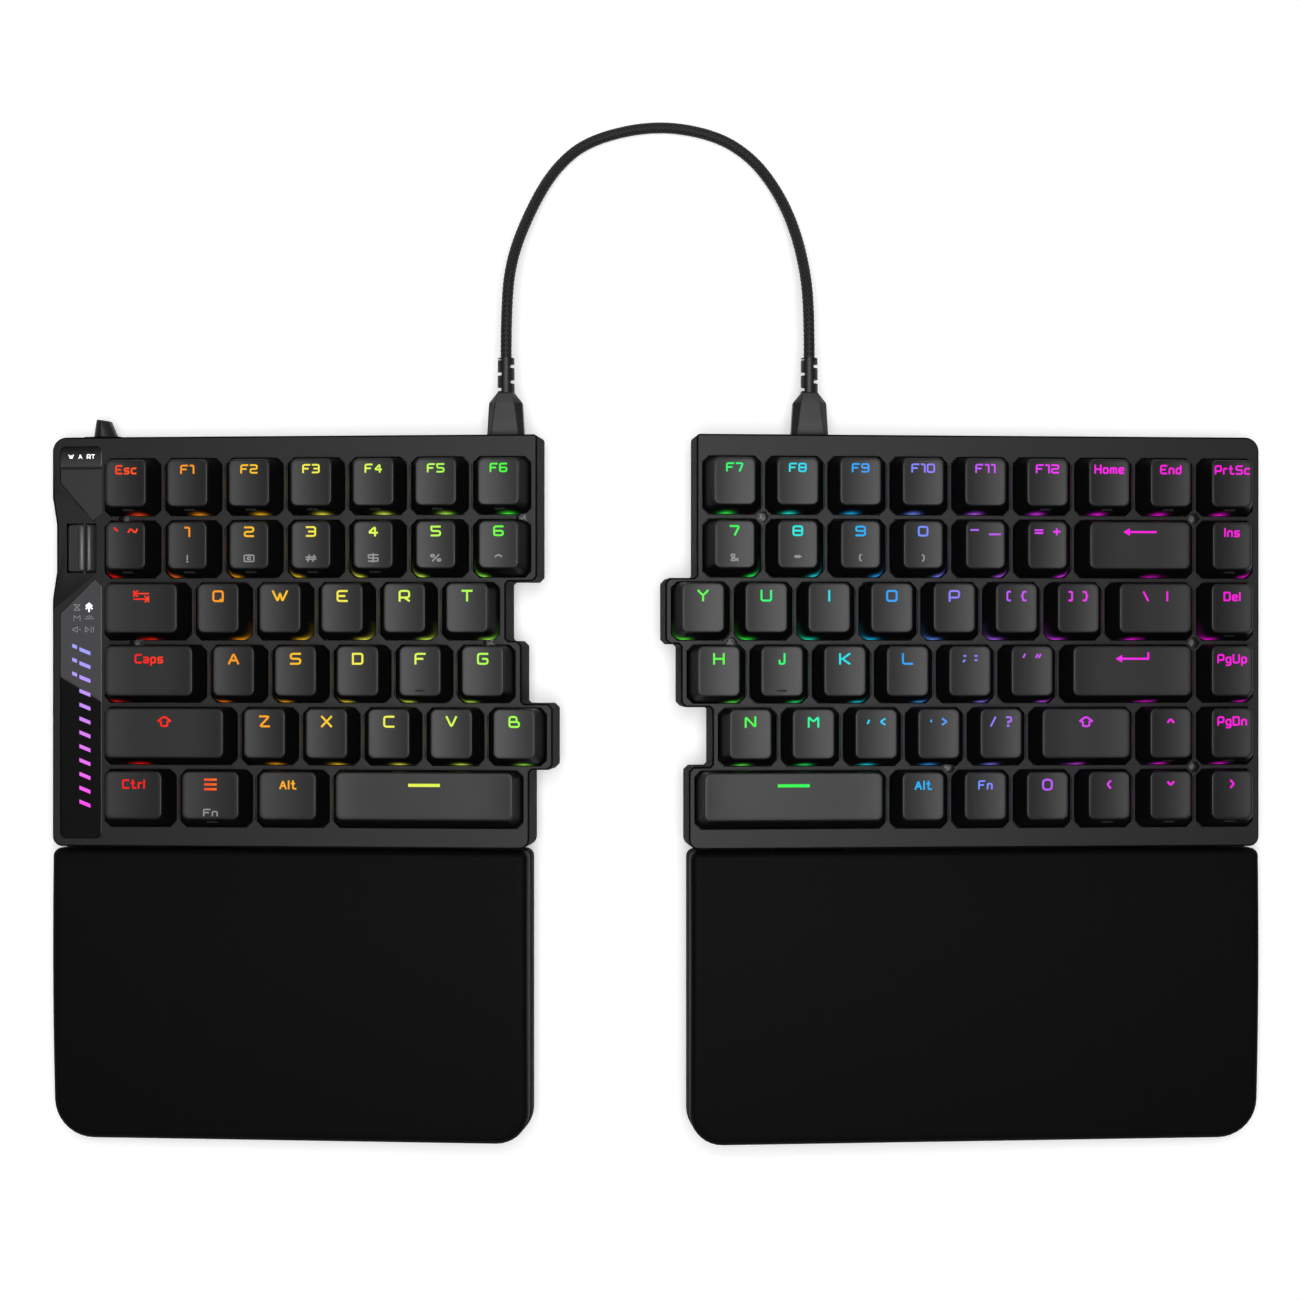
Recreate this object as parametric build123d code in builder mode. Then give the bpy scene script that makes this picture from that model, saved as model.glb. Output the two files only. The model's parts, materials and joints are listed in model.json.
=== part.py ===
"""Ergonomic split keyboard: two tented halves, a braided link cable and two palm rests.

Each half is drawn flat in its own deck frame and placed on a plane that leans by the tenting angle.
Deck frame of a half: origin on the outermost key line (left half) or the innermost key line (right
half) at the rear of the first key row, x along the rows, y towards the rear, z = 0 on the top of the
key lattice. World frame: origin on the desk, below the middle of the keyboard with its palm rests.
"""

import os
from math import cos, pi, radians, sin, tan

from build123d import *

os.makedirs("parts", exist_ok=True)

# Stance of the two halves on the desk
TENT_ANGLE = 5
LEFT_INNER_LINE_X = -37.10
RIGHT_INNER_LINE_X = 13.45
DECK_REAR_Y = 99.45

# Key field: pitch, and the rows as start and widths, both in key units
KEY_PITCH = 19.05
ROW_COUNT = 6
LEFT_ROWS = [
    (0, [1, 1, 1, 1, 1, 1, 1]),
    (0, [1, 1, 1, 1, 1, 1, 1]),
    (0, [1.5, 1, 1, 1, 1, 1]),
    (0, [1.75, 1, 1, 1, 1, 1]),
    (0, [2.25, 1, 1, 1, 1, 1]),
    (0, [1.25, 1.25, 1.25, 3.125]),
]
RIGHT_ROWS = [
    (0, [1, 1, 1, 1, 1, 1, 1, 1, 1]),
    (0, [1, 1, 1, 1, 1, 1, 2, 1]),
    (-0.5, [1, 1, 1, 1, 1, 1, 1, 1.5, 1]),
    (-0.25, [1, 1, 1, 1, 1, 1, 2.25, 1]),
    (0.25, [1, 1, 1, 1, 1, 1.75, 1, 1]),
    (-0.125, [3.125, 1, 1, 1, 1, 1, 1]),
]
LEFT_UNITS = 7
RIGHT_UNITS = 9

# Key lattice and top frame
RIB = 1.15
OPENING_CHAMFER = 1.9
FRAME_THICK = 3.0
INNER_MARGIN = 0.6
REAR_MARGIN = 5.5
FRONT_MARGIN = 4.95
STRIP_WIDTH = 15.35
RIGHT_OUTER_MARGIN = 0.95
STEP_CUT = 1.1
REAR_RADIUS = 3.8
INNER_REAR_RADIUS = 0.7
FRONT_RADIUS = 2.5
WAIST_DEPTH = 1.3

# Bottom case
CASE_DEPTH = 19.0
CASE_PROUD = 0.5
CASE_WALL = 2.2
CASE_FLOOR = 2.2
CASE_RIM_DROP = 0.6
CASE_CHAMFER = 1.0
FRAME_CLEAR = 0.05

# Key caps
CAP_HEIGHT = 9.0
CAP_TOP_LEVEL = 8.1
CAP_SIDE_GAP = 0.825
CAP_CORNER_CUT = 1.8
CAP_TOP_SIDE_INSETS = [2.45, 2.7, 2.35, 2.35, 2.35, 2.35]
CAP_TOP_REAR_INSETS = [1.7, 1.5, 1.2, 1.1, 1.0, 1.1]
CAP_TOP_FRONT_INSETS = [3.25, 3.3, 3.0, 2.9, 3.1, 3.6]
SPACE_TOP_SIDE_INSET = 1.95
CAP_DISH = 0.4
CAP_FLAT_SHARE = 0.42
CAP_WALL = 1.3
CAP_ROOF = 1.6
STEM_SIZE = 3.6
STEM_LENGTH = 8.5
KEY_TRAVEL = 3.5
PRESS_SIDE_ROOM = 0.35
PRESS_ROOM = 0.4
STABILISER_FROM_UNITS = 2
STABILISER_SPACING = 23.8

# Switches, plate and circuit board
PLATE_LEVEL = -6.5
PLATE_THICK = 1.5
FOAM_THICK = 3.5
BOARD_LEVEL = -11.5
BOARD_THICK = 1.6
INNER_PLATE_GAP = 0.5
BAY_GAP = 0.5
SWITCH_SIZE = 14.0
SWITCH_TOP_SIZE = 10.4
SWITCH_TOP_HEIGHT = 6.1
STEM_GAP = 0.25
STEM_BOTTOM_GAP = 0.3
STABILISER_WIDTH = 6.6
STABILISER_DEPTH = 13.0
STABILISER_TOP_HEIGHT = 4.6
STABILISER_POST_WIDTH = 3.4

# Screws that clamp the plate on bosses, as places in key units along and rows down
SCREW_HEAD_RADIUS = 1.5
SCREW_HEAD_HEIGHT = 1.2
SCREW_RADIUS = 1.0
SCREW_LENGTH = 6.5
SCREW_GAP = 0.1
BOSS_RADIUS = 2.1
BOSS_GAP = 0.3
NOTCH_RADIUS = 1.75
LEFT_SCREWS = [(0.35, 1), (6.81, 1), (6.28, 3), (0.53, 3)]
RIGHT_SCREWS = [(1, 1), (8, 1), (0.5, 3), (8, 3), (4, 5), (8, 5)]

# Control strip of the left half: indicator window, badge plate, wheel and light strip
INLAY_DEPTH = 1.2
INLAY_THICK = 1.1
INLAY_GAP = 0.1
INLAY_OUTER_MARGIN = 2.0
INLAY_INNER_MARGIN = 0.9
WINDOW_REAR_MARGIN = 2.4
WINDOW_LENGTH = 6.2
WINDOW_RADIUS = 1.8
BADGE_GAP = 0.6
BADGE_LENGTH = 16.0
BADGE_OUTER_LENGTH = 4.4
BADGE_TIP_WIDTH = 2.9
BADGE_TIP_LENGTH = 2.1
SCOOP_DEPTH = 0.6
WHEEL_RADIUS = 5.2
WHEEL_LENGTH = 14.4
WHEEL_PROUD = 1.6
WHEEL_RIBS = 14
WHEEL_RIB_DEPTH = 0.35
WHEEL_GAP = 0.4
WHEEL_CENTRE_FROM_OUTER = 8.6
WHEEL_CENTRE_FROM_REAR = 28.1
AXLE_RADIUS = 1.0
AXLE_LENGTH = 1.4
AXLE_CLEAR = 0.06
EAR_THICK = 1.5
EAR_WIDTH = 5.0
EAR_DROP = 3.4
LIGHT_START_FROM_REAR = 37.6
LIGHT_SHOULDER = 10.6
LIGHT_TIP_WIDTH = 2.2
LIGHT_FRONT_MARGIN = 2.0
LIGHT_CORNER_RADIUS = 2.0

# Rear controls of the left half
LEVER_CENTRE_FROM_OUTER = 13.9
LEVER_BASE_WIDTH = 7.0
LEVER_TIP_WIDTH = 4.1
LEVER_TIP_SHIFT = 0.6
LEVER_PROUD = 5.4
LEVER_HEIGHT = 5.0
LEVER_LEVEL = -7.6
LEVER_TRAVEL = 1.9
LEVER_STEM_WIDTH = 3.0
LEVER_STEM_HEIGHT = 2.6
LEVER_STEM_LENGTH = 3.1
LEVER_BEZEL_WIDTH = 11.2
LEVER_BEZEL_HEIGHT = 6.4
LEVER_BEZEL_PROUD = 0.5
LEVER_GAP = 0.15
SLIDER_CENTRE_FROM_OUTER = 34.6
SLIDER_WIDTH = 1.4
SLIDER_HEIGHT = 2.0
SLIDER_PROUD = 0.4
SLIDER_STEM_LENGTH = 2.8
SLIDER_TRAVEL = 1.0
SLIDER_GAP = 0.15

# Ports, plugs, strain reliefs and the link cable
LEFT_PORT_X = 123.6
RIGHT_PORT_X = 34.6
PORT_WIDTH = 9.2
PORT_HEIGHT = 3.2
PORT_LENGTH = 7.3
PORT_WALL = 0.3
PORT_RECESS = 0.15
PORT_CUT_GAP = 0.1
PLUG_SHELL_WIDTH = 8.3
PLUG_SHELL_HEIGHT = 2.4
PLUG_SHELL_LENGTH = 6.2
PLUG_BODY_GAP = 0.2
PLUG_WIDTH = 11.4
PLUG_SHOULDER_WIDTH = 10.4
PLUG_NECK_WIDTH = 5.4
PLUG_HEIGHT = 6.4
PLUG_STRAIGHT = 10.0
PLUG_LENGTH = 13.2
PLUG_CHAMFER = 1.1
RELIEF_RADIUS = 2.6
RELIEF_LENGTH = 10.8
RELIEF_SLOTS = 5
RELIEF_SLOT_SHARE = 0.42
RELIEF_CORE_RADIUS = 1.9
CABLE_RADIUS = 1.75
ARC_SHARE = 0.45

# Tenting legs, their recesses and the rubber feet
LEG_INSET = 15.35
LEG_PIVOT_LIFT = 2.1
LEG_KNUCKLE_RADIUS = 1.8
LEG_THICK = 3.2
LEG_LENGTH_Y = 38.0
LEG_PIN_RADIUS = 0.9
LEG_PIN_LENGTH = 1.2
LEG_PIN_CLEAR = 0.05
LEG_GAP = 0.4
LEG_FOLD_GAP = 1.4
LEG_ROOF = 1.3
LEG_WALL = 1.5
CASE_LEG_CENTRE = 57.5
PALM_LEG_CENTRE = 165.0
FOOT_WIDTH = 8.0
FOOT_LENGTH = 30.0
FOOT_INSET = 2.85
FOOT_PROUD = 1.5
FOOT_SUNK = 0.5
FOOT_REAR_CENTRE = 23.0
FOOT_FRONT_CENTRE = 97.0
INNER_FOOT_LENGTH = 18.0
INNER_FOOT_INSET = 16.0
INNER_REAR_FOOT_CENTRE = 20.0
INNER_FRONT_FOOT_CENTRE = 105.0
PALM_REAR_FOOT_CENTRE = 145.0
PALM_FRONT_FOOT_CENTRE = 186.0

# Palm rests
PALM_GAP = 0.8
PALM_LENGTH = 89.9
PALM_TOP_DROP = 2.0
PALM_BASE_THICK = 6.5
PALM_OUTER_OVERHANG = 1.0
PALM_INNER_OVERHANG = 0.12
PALM_FRONT_OUTER_RADIUS = 12.0
PALM_FRONT_INNER_RADIUS = 10.0
PALM_REAR_RADIUS = 2.5
PALM_CROWN_RADIUS = 600.0
PALM_CROWN_CENTRE_SHARE = 0.33
PALM_EDGE_CUT = 1.4
PALM_SIDE_TAPER = 1.0
TONGUE_WIDTH = 20.0
TONGUE_THICK = 2.4
TONGUE_LENGTH = 4.6
TONGUE_LIFT = 2.6
TONGUE_GAP = 0.3
TONGUE_PLACE_SHARES = [0.22, 0.78]

# Battery below the left circuit board
BATTERY_LENGTH = 52.0
BATTERY_WIDTH = 34.0
BATTERY_THICK = 3.3
BATTERY_RADIUS = 1.5
BATTERY_X = 52.0
BATTERY_FROM_REAR = 66.0

# Sides of small round work that is drawn as a polygon
HEX_SIDES = 6
ROUND_SIDES = 8
KNUCKLE_SIDES = 10

# One overrun for every cut that must pass right through
OVERRUN = 1.0

# Places that follow from the sizes above
HALF_SIDE = 180 / ROUND_SIDES
TENT = radians(TENT_ANGLE)
FIELD_DEPTH = ROW_COUNT * KEY_PITCH
BASE_LEVEL = -CASE_DEPTH
FOAM_LEVEL = PLATE_LEVEL - PLATE_THICK
STANCE_LEVEL = CASE_DEPTH + FOOT_PROUD
LEFT_SPAN = LEFT_UNITS * KEY_PITCH
RIGHT_SPAN = RIGHT_UNITS * KEY_PITCH
left_outer_x = -STRIP_WIDTH
right_outer_x = RIGHT_SPAN + RIGHT_OUTER_MARGIN
left_rise = (-left_outer_x - FOOT_INSET) * sin(TENT) + STANCE_LEVEL * cos(TENT)
right_rise = (right_outer_x - FOOT_INSET) * sin(TENT) + STANCE_LEVEL * cos(TENT)
front_y = -FIELD_DEPTH - FRONT_MARGIN

left_deck = Plane(
    origin=(LEFT_INNER_LINE_X - LEFT_SPAN * cos(TENT), DECK_REAR_Y, left_rise),
    x_dir=(cos(TENT), 0, sin(TENT)),
    z_dir=(-sin(TENT), 0, cos(TENT)),
)
right_deck = Plane(
    origin=(RIGHT_INNER_LINE_X, DECK_REAR_Y, right_rise),
    x_dir=(cos(TENT), 0, -sin(TENT)),
    z_dir=(sin(TENT), 0, cos(TENT)),
)


def row_span(rows, index):
    """Start and end of a row along x."""
    start, widths = rows[index]
    return start * KEY_PITCH, (start + sum(widths)) * KEY_PITCH


def cells_of(rows, index):
    """Centre x, centre y and width in units of each key in a row."""
    start, widths = rows[index]
    cells = []
    for width in widths:
        cells.append(((start + width / 2) * KEY_PITCH, -(index + 1 / 2) * KEY_PITCH, width))
        start += width
    return cells


def left_outline():
    """Corners of the left frame, from the rear outer corner round by the inner steps."""
    points = [(left_outer_x, REAR_MARGIN)]
    level = REAR_MARGIN
    edge = row_span(LEFT_ROWS, 0)[1]
    for index in range(ROW_COUNT):
        end = row_span(LEFT_ROWS, index)[1]
        if end != edge:
            level = -index * KEY_PITCH
            points.append((edge + INNER_MARGIN, level))
            points.append((end + INNER_MARGIN, level))
            edge = end
        elif index == 0:
            points.append((edge + INNER_MARGIN, level))
    points.append((edge + INNER_MARGIN, front_y))
    points.append((left_outer_x, front_y))
    return points


def right_outline():
    """Corners of the right frame, from the rear outer corner round by the inner steps."""
    points = [(right_outer_x, REAR_MARGIN)]
    edge = row_span(RIGHT_ROWS, 0)[0]
    points.append((edge - INNER_MARGIN, REAR_MARGIN))
    for index in range(ROW_COUNT):
        end = row_span(RIGHT_ROWS, index)[0]
        if end != edge:
            level = -index * KEY_PITCH
            points.append((edge - INNER_MARGIN, level))
            points.append((end - INNER_MARGIN, level))
            edge = end
    points.append((edge - INNER_MARGIN, front_y))
    points.append((right_outer_x, front_y))
    return points


def plain_face(points):
    """Outline of a half with square corners, for what lies inside it."""
    with BuildSketch() as outline:
        with BuildLine():
            Polyline(*points, close=True)
        make_face()
    return outline.sketch


def outline_face(points, outer_x):
    """Outline of a half in the deck frame, with its steps cut and its outer corners rounded."""
    with BuildSketch() as outline:
        with BuildLine():
            Polyline(*points, close=True)
        make_face()
        chamfer(outline.vertices().filter_by(lambda v: front_y < v.Y < REAR_MARGIN), STEP_CUT)
        rear = outline.vertices().group_by(Axis.Y)[-1].sort_by(lambda v: abs(v.X - outer_x))
        fillet(rear[0], REAR_RADIUS)
        rear = outline.vertices().group_by(Axis.Y)[-1].sort_by(lambda v: abs(v.X - outer_x))
        fillet(rear[-1], INNER_REAR_RADIUS)
        fillet(outline.vertices().group_by(Axis.Y)[0], FRONT_RADIUS)
    return outline.sketch


def grown(face, amount):
    """The outline grown, or shrunk where the amount is negative."""
    with BuildSketch() as result:
        add(face)
        offset(amount=amount, kind=Kind.INTERSECTION, mode=Mode.REPLACE)
    return result.sketch


# Waist of the left half's outer edge, taken out of both shells beside the wheel
waist_rear = -WHEEL_CENTRE_FROM_REAR + WHEEL_LENGTH
waist_front = -WHEEL_CENTRE_FROM_REAR - WHEEL_LENGTH
with BuildSketch() as waist:
    with BuildLine():
        Polyline(
            (left_outer_x - CASE_PROUD - OVERRUN, waist_rear + WAIST_DEPTH + OVERRUN),
            (left_outer_x - CASE_PROUD, waist_rear + WAIST_DEPTH),
            (left_outer_x - CASE_PROUD + WAIST_DEPTH, waist_rear - WHEEL_LENGTH / 2),
            (left_outer_x - CASE_PROUD + WAIST_DEPTH, waist_front + WHEEL_LENGTH / 2),
            (left_outer_x - CASE_PROUD, waist_front - WAIST_DEPTH),
            (left_outer_x - CASE_PROUD - OVERRUN, waist_front - WAIST_DEPTH - OVERRUN),
            close=True,
        )
    make_face()

left_inside = plain_face(left_outline())
right_inside = plain_face(right_outline())
left_plain = outline_face(left_outline(), left_outer_x)
right_face = outline_face(right_outline(), right_outer_x)
with BuildSketch() as left_case_sketch:
    add(grown(left_plain, CASE_PROUD))
    add(waist.sketch, mode=Mode.SUBTRACT)
left_case_face = left_case_sketch.sketch
right_case_face = grown(right_face, CASE_PROUD)
left_face = grown(left_case_face, -CASE_PROUD)

# Places of the control strip, in the left deck frame
strip_left = left_outer_x + INLAY_OUTER_MARGIN
strip_right = -INLAY_INNER_MARGIN + RIB / 2
window_rear = REAR_MARGIN - WINDOW_REAR_MARGIN
window_front = window_rear - WINDOW_LENGTH
badge_rear = window_front - BADGE_GAP
badge_front = badge_rear - BADGE_LENGTH
wheel_x = left_outer_x + WHEEL_CENTRE_FROM_OUTER
wheel_y = -WHEEL_CENTRE_FROM_REAR
wheel_z = WHEEL_PROUD - WHEEL_RADIUS
light_rear = -LIGHT_START_FROM_REAR
light_front = front_y + LIGHT_FRONT_MARGIN


def window_sketch(gap):
    """Indicator window in the strip, rounded at its rear inner corner."""
    with BuildSketch() as shape:
        with Locations(((strip_left + strip_right) / 2, (window_rear + window_front) / 2)):
            Rectangle(strip_right - strip_left, WINDOW_LENGTH)
        fillet(shape.vertices().group_by(Axis.Y)[-1], WINDOW_RADIUS)
        if gap:
            offset(amount=gap, kind=Kind.INTERSECTION, mode=Mode.REPLACE)
    return shape.sketch


def badge_sketch(gap):
    """Five-sided badge plate that narrows to a tip beside the keys."""
    with BuildSketch() as shape:
        with BuildLine():
            Polyline(
                (strip_left, badge_rear),
                (strip_right, badge_rear),
                (strip_right, badge_front + BADGE_TIP_LENGTH),
                (strip_right - BADGE_TIP_WIDTH, badge_front),
                (strip_left, badge_rear - BADGE_OUTER_LENGTH),
                close=True,
            )
        make_face()
        if gap:
            offset(amount=gap, kind=Kind.INTERSECTION, mode=Mode.REPLACE)
    return shape.sketch


def light_sketch(gap):
    """Light strip with a slanted rear end and rounded front corners."""
    with BuildSketch() as shape:
        with BuildLine():
            Polyline(
                (strip_right - LIGHT_TIP_WIDTH, light_rear),
                (strip_right, light_rear - LIGHT_TIP_WIDTH),
                (strip_right, light_front),
                (strip_left, light_front),
                (strip_left, light_rear - LIGHT_SHOULDER),
                close=True,
            )
        make_face()
        fillet(shape.vertices().group_by(Axis.Y)[0], LIGHT_CORNER_RADIUS)
        if gap:
            offset(amount=gap, kind=Kind.INTERSECTION, mode=Mode.REPLACE)
    return shape.sketch


def openings(rows):
    """Openings of the lattice, one for each key, with cut corners."""
    with BuildSketch() as holes:
        for index in range(ROW_COUNT):
            for x, y, units in cells_of(rows, index):
                with BuildSketch(mode=Mode.PRIVATE) as hole:
                    Rectangle(units * KEY_PITCH - RIB, KEY_PITCH - RIB)
                    chamfer(hole.vertices(), OPENING_CHAMFER)
                with Locations((x, y)):
                    add(hole.sketch)
    return holes.sketch


def screw_places(table):
    """Screw places in the deck frame."""
    return [(units * KEY_PITCH, -down * KEY_PITCH) for units, down in table]


def top_frame(deck, face, rows, screws):
    """Moulded top frame: one plate with a rib between all key openings."""
    with BuildPart() as frame:
        with BuildSketch(deck):
            add(face)
            add(openings(rows), mode=Mode.SUBTRACT)
            with Locations(*screw_places(screws)):
                RegularPolygon(NOTCH_RADIUS, HEX_SIDES, mode=Mode.SUBTRACT)
        extrude(amount=-FRAME_THICK)
    return frame.part


# Recess and pivot of a tenting leg; side is -1 on the left half and 1 on the right, the way it folds
def leg_pivot_x(side):
    return LEFT_SPAN - LEG_INSET if side < 0 else LEG_INSET


def leg_reach(deck, side):
    """Length of a leg from its pivot down to the desk."""
    pivot = deck.from_local_coords((leg_pivot_x(side), 0, BASE_LEVEL + LEG_PIVOT_LIFT))
    return pivot.Z / cos(TENT)


def leg_box(deck, side, centre_y, gap):
    """Centre x, centre y, width and length of the room a folded leg takes."""
    far = leg_reach(deck, side) + LEG_FOLD_GAP + gap
    near = LEG_KNUCKLE_RADIUS + LEG_GAP + gap
    centre_x = leg_pivot_x(side) + side * (far - near) / 2
    return centre_x, -centre_y, far + near, LEG_LENGTH_Y + LEG_GAP * 2 + gap * 2


def side_plane(deck, y):
    """Plane across the deck at one y, with its x along the deck and its normal towards the rear."""
    origin = deck.from_local_coords((0, y, 0))
    return Plane(origin=origin, x_dir=-deck.x_dir, z_dir=deck.y_dir)


def leg_room(deck, side, centre_y):
    """Recess and pin holes of a leg, to be cut out of the case or the palm rest base."""
    x, y, width, length = leg_box(deck, side, centre_y, 0)
    depth = LEG_PIVOT_LIFT + LEG_KNUCKLE_RADIUS + LEG_GAP
    reach = LEG_LENGTH_Y / 2 + LEG_GAP + LEG_PIN_LENGTH
    with BuildPart() as room:
        with BuildSketch(deck.offset(BASE_LEVEL - OVERRUN)):
            with Locations((x, y)):
                Rectangle(width, length)
        extrude(amount=depth + OVERRUN)
        with BuildSketch(side_plane(deck, -centre_y - reach)):
            with Locations((-leg_pivot_x(side), BASE_LEVEL + LEG_PIVOT_LIFT)):
                RegularPolygon(LEG_PIN_RADIUS + LEG_PIN_CLEAR, ROUND_SIDES, major_radius=False)
        extrude(amount=reach * 2)
    return room.part


def tenting_leg(deck, side, centre_y):
    """Fold-out leg: knuckle, blade down to the desk and a stub pin at each end."""
    pivot = BASE_LEVEL + LEG_PIVOT_LIFT
    with BuildPart() as leg:
        with BuildSketch(side_plane(deck, -centre_y - LEG_LENGTH_Y / 2)):
            with Locations((-leg_pivot_x(side), pivot)):
                RegularPolygon(LEG_KNUCKLE_RADIUS, KNUCKLE_SIDES)
            with Locations((-leg_pivot_x(side), pivot - leg_reach(deck, side) / 2 - OVERRUN)):
                Rectangle(LEG_THICK, leg_reach(deck, side) + OVERRUN * 2)
        extrude(amount=LEG_LENGTH_Y)
        pins = LEG_LENGTH_Y / 2 + LEG_GAP / 2 + LEG_PIN_LENGTH
        with BuildSketch(side_plane(deck, -centre_y - pins)):
            with Locations((-leg_pivot_x(side), pivot)):
                RegularPolygon(LEG_PIN_RADIUS, ROUND_SIDES)
        extrude(amount=pins * 2)
        split(bisect_by=Plane.XY, keep=Keep.TOP)
    return leg.part


def foot_places(outer_x, inner_x, side, outer_centres, inner_centres):
    """Centre x, centre y, length and whether the foot stands on the desk, for each foot."""
    places = []
    for centre in outer_centres:
        places.append((outer_x - side * (FOOT_INSET + FOOT_WIDTH / 2), -centre, FOOT_LENGTH))
    for centre in inner_centres:
        places.append((inner_x + side * INNER_FOOT_INSET, -centre, INNER_FOOT_LENGTH))
    return places


def foot_seats(deck, places):
    """Shallow seats of the rubber feet, to be cut out of the piece that carries them."""
    with BuildPart() as seats:
        with BuildSketch(deck.offset(BASE_LEVEL - OVERRUN)):
            for x, y, length in places:
                with Locations((x, y)):
                    Rectangle(FOOT_WIDTH, length)
        extrude(amount=FOOT_SUNK + OVERRUN)
    return seats.part


def rubber_feet(deck, outer, inner):
    """Rubber feet: the outer ones are wedges that lie flat on the desk, the inner ones stay clear."""
    with BuildPart() as feet:
        with BuildSketch(deck.offset(BASE_LEVEL + FOOT_SUNK)):
            for x, y, length in outer:
                with Locations((x, y)):
                    Rectangle(FOOT_WIDTH, length)
        extrude(amount=-(FOOT_SUNK + FOOT_PROUD * 2 + FOOT_WIDTH * tan(TENT)))
        split(bisect_by=Plane.XY, keep=Keep.TOP)
        if inner:
            with BuildSketch(deck.offset(BASE_LEVEL + FOOT_SUNK)):
                for x, y, length in inner:
                    with Locations((x, y)):
                        Rectangle(FOOT_WIDTH, length)
            extrude(amount=-(FOOT_SUNK + FOOT_PROUD))
    return feet.part


left_outer_feet = foot_places(left_outer_x, 0, -1, [FOOT_REAR_CENTRE, FOOT_FRONT_CENTRE], [])
left_inner_feet = foot_places(0, LEFT_SPAN, -1, [], [INNER_REAR_FOOT_CENTRE, INNER_FRONT_FOOT_CENTRE])
right_outer_feet = foot_places(right_outer_x, 0, 1, [FOOT_REAR_CENTRE, FOOT_FRONT_CENTRE], [])
right_inner_feet = foot_places(0, 0, 1, [], [INNER_REAR_FOOT_CENTRE, INNER_FRONT_FOOT_CENTRE])
left_palm_feet = foot_places(left_outer_x, 0, -1, [PALM_REAR_FOOT_CENTRE, PALM_FRONT_FOOT_CENTRE], [])
right_palm_feet = foot_places(right_outer_x, 0, 1, [PALM_REAR_FOOT_CENTRE, PALM_FRONT_FOOT_CENTRE], [])


def tongue_places(rows):
    """Centres along x of the two tongues that hook a palm rest into the case."""
    start, end = row_span(rows, ROW_COUNT - 1)
    return [start + share * (end - start) for share in TONGUE_PLACE_SHARES]


def press_room(deck, rows):
    """Room in the case walls for the caps of the outermost keys at full press, with the steps between rows."""
    edge = CAP_SIDE_GAP - PRESS_SIDE_ROOM
    with BuildPart() as room:
        with BuildSketch(deck.offset(CAP_TOP_LEVEL - CAP_HEIGHT - KEY_TRAVEL - PRESS_ROOM)):
            for index in range(ROW_COUNT):
                start, end = row_span(rows, index)
                with Locations(((start + end) / 2, -index * KEY_PITCH - KEY_PITCH / 2)):
                    Rectangle(end - start - edge * 2, KEY_PITCH - edge * 2)
                if index:
                    rear_start, rear_end = row_span(rows, index - 1)
                    low, high = max(start, rear_start), min(end, rear_end)
                    with Locations(((low + high) / 2, -index * KEY_PITCH)):
                        Rectangle(high - low - edge * 2, edge * 4)
        extrude(amount=CAP_HEIGHT)
    return room.part


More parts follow.
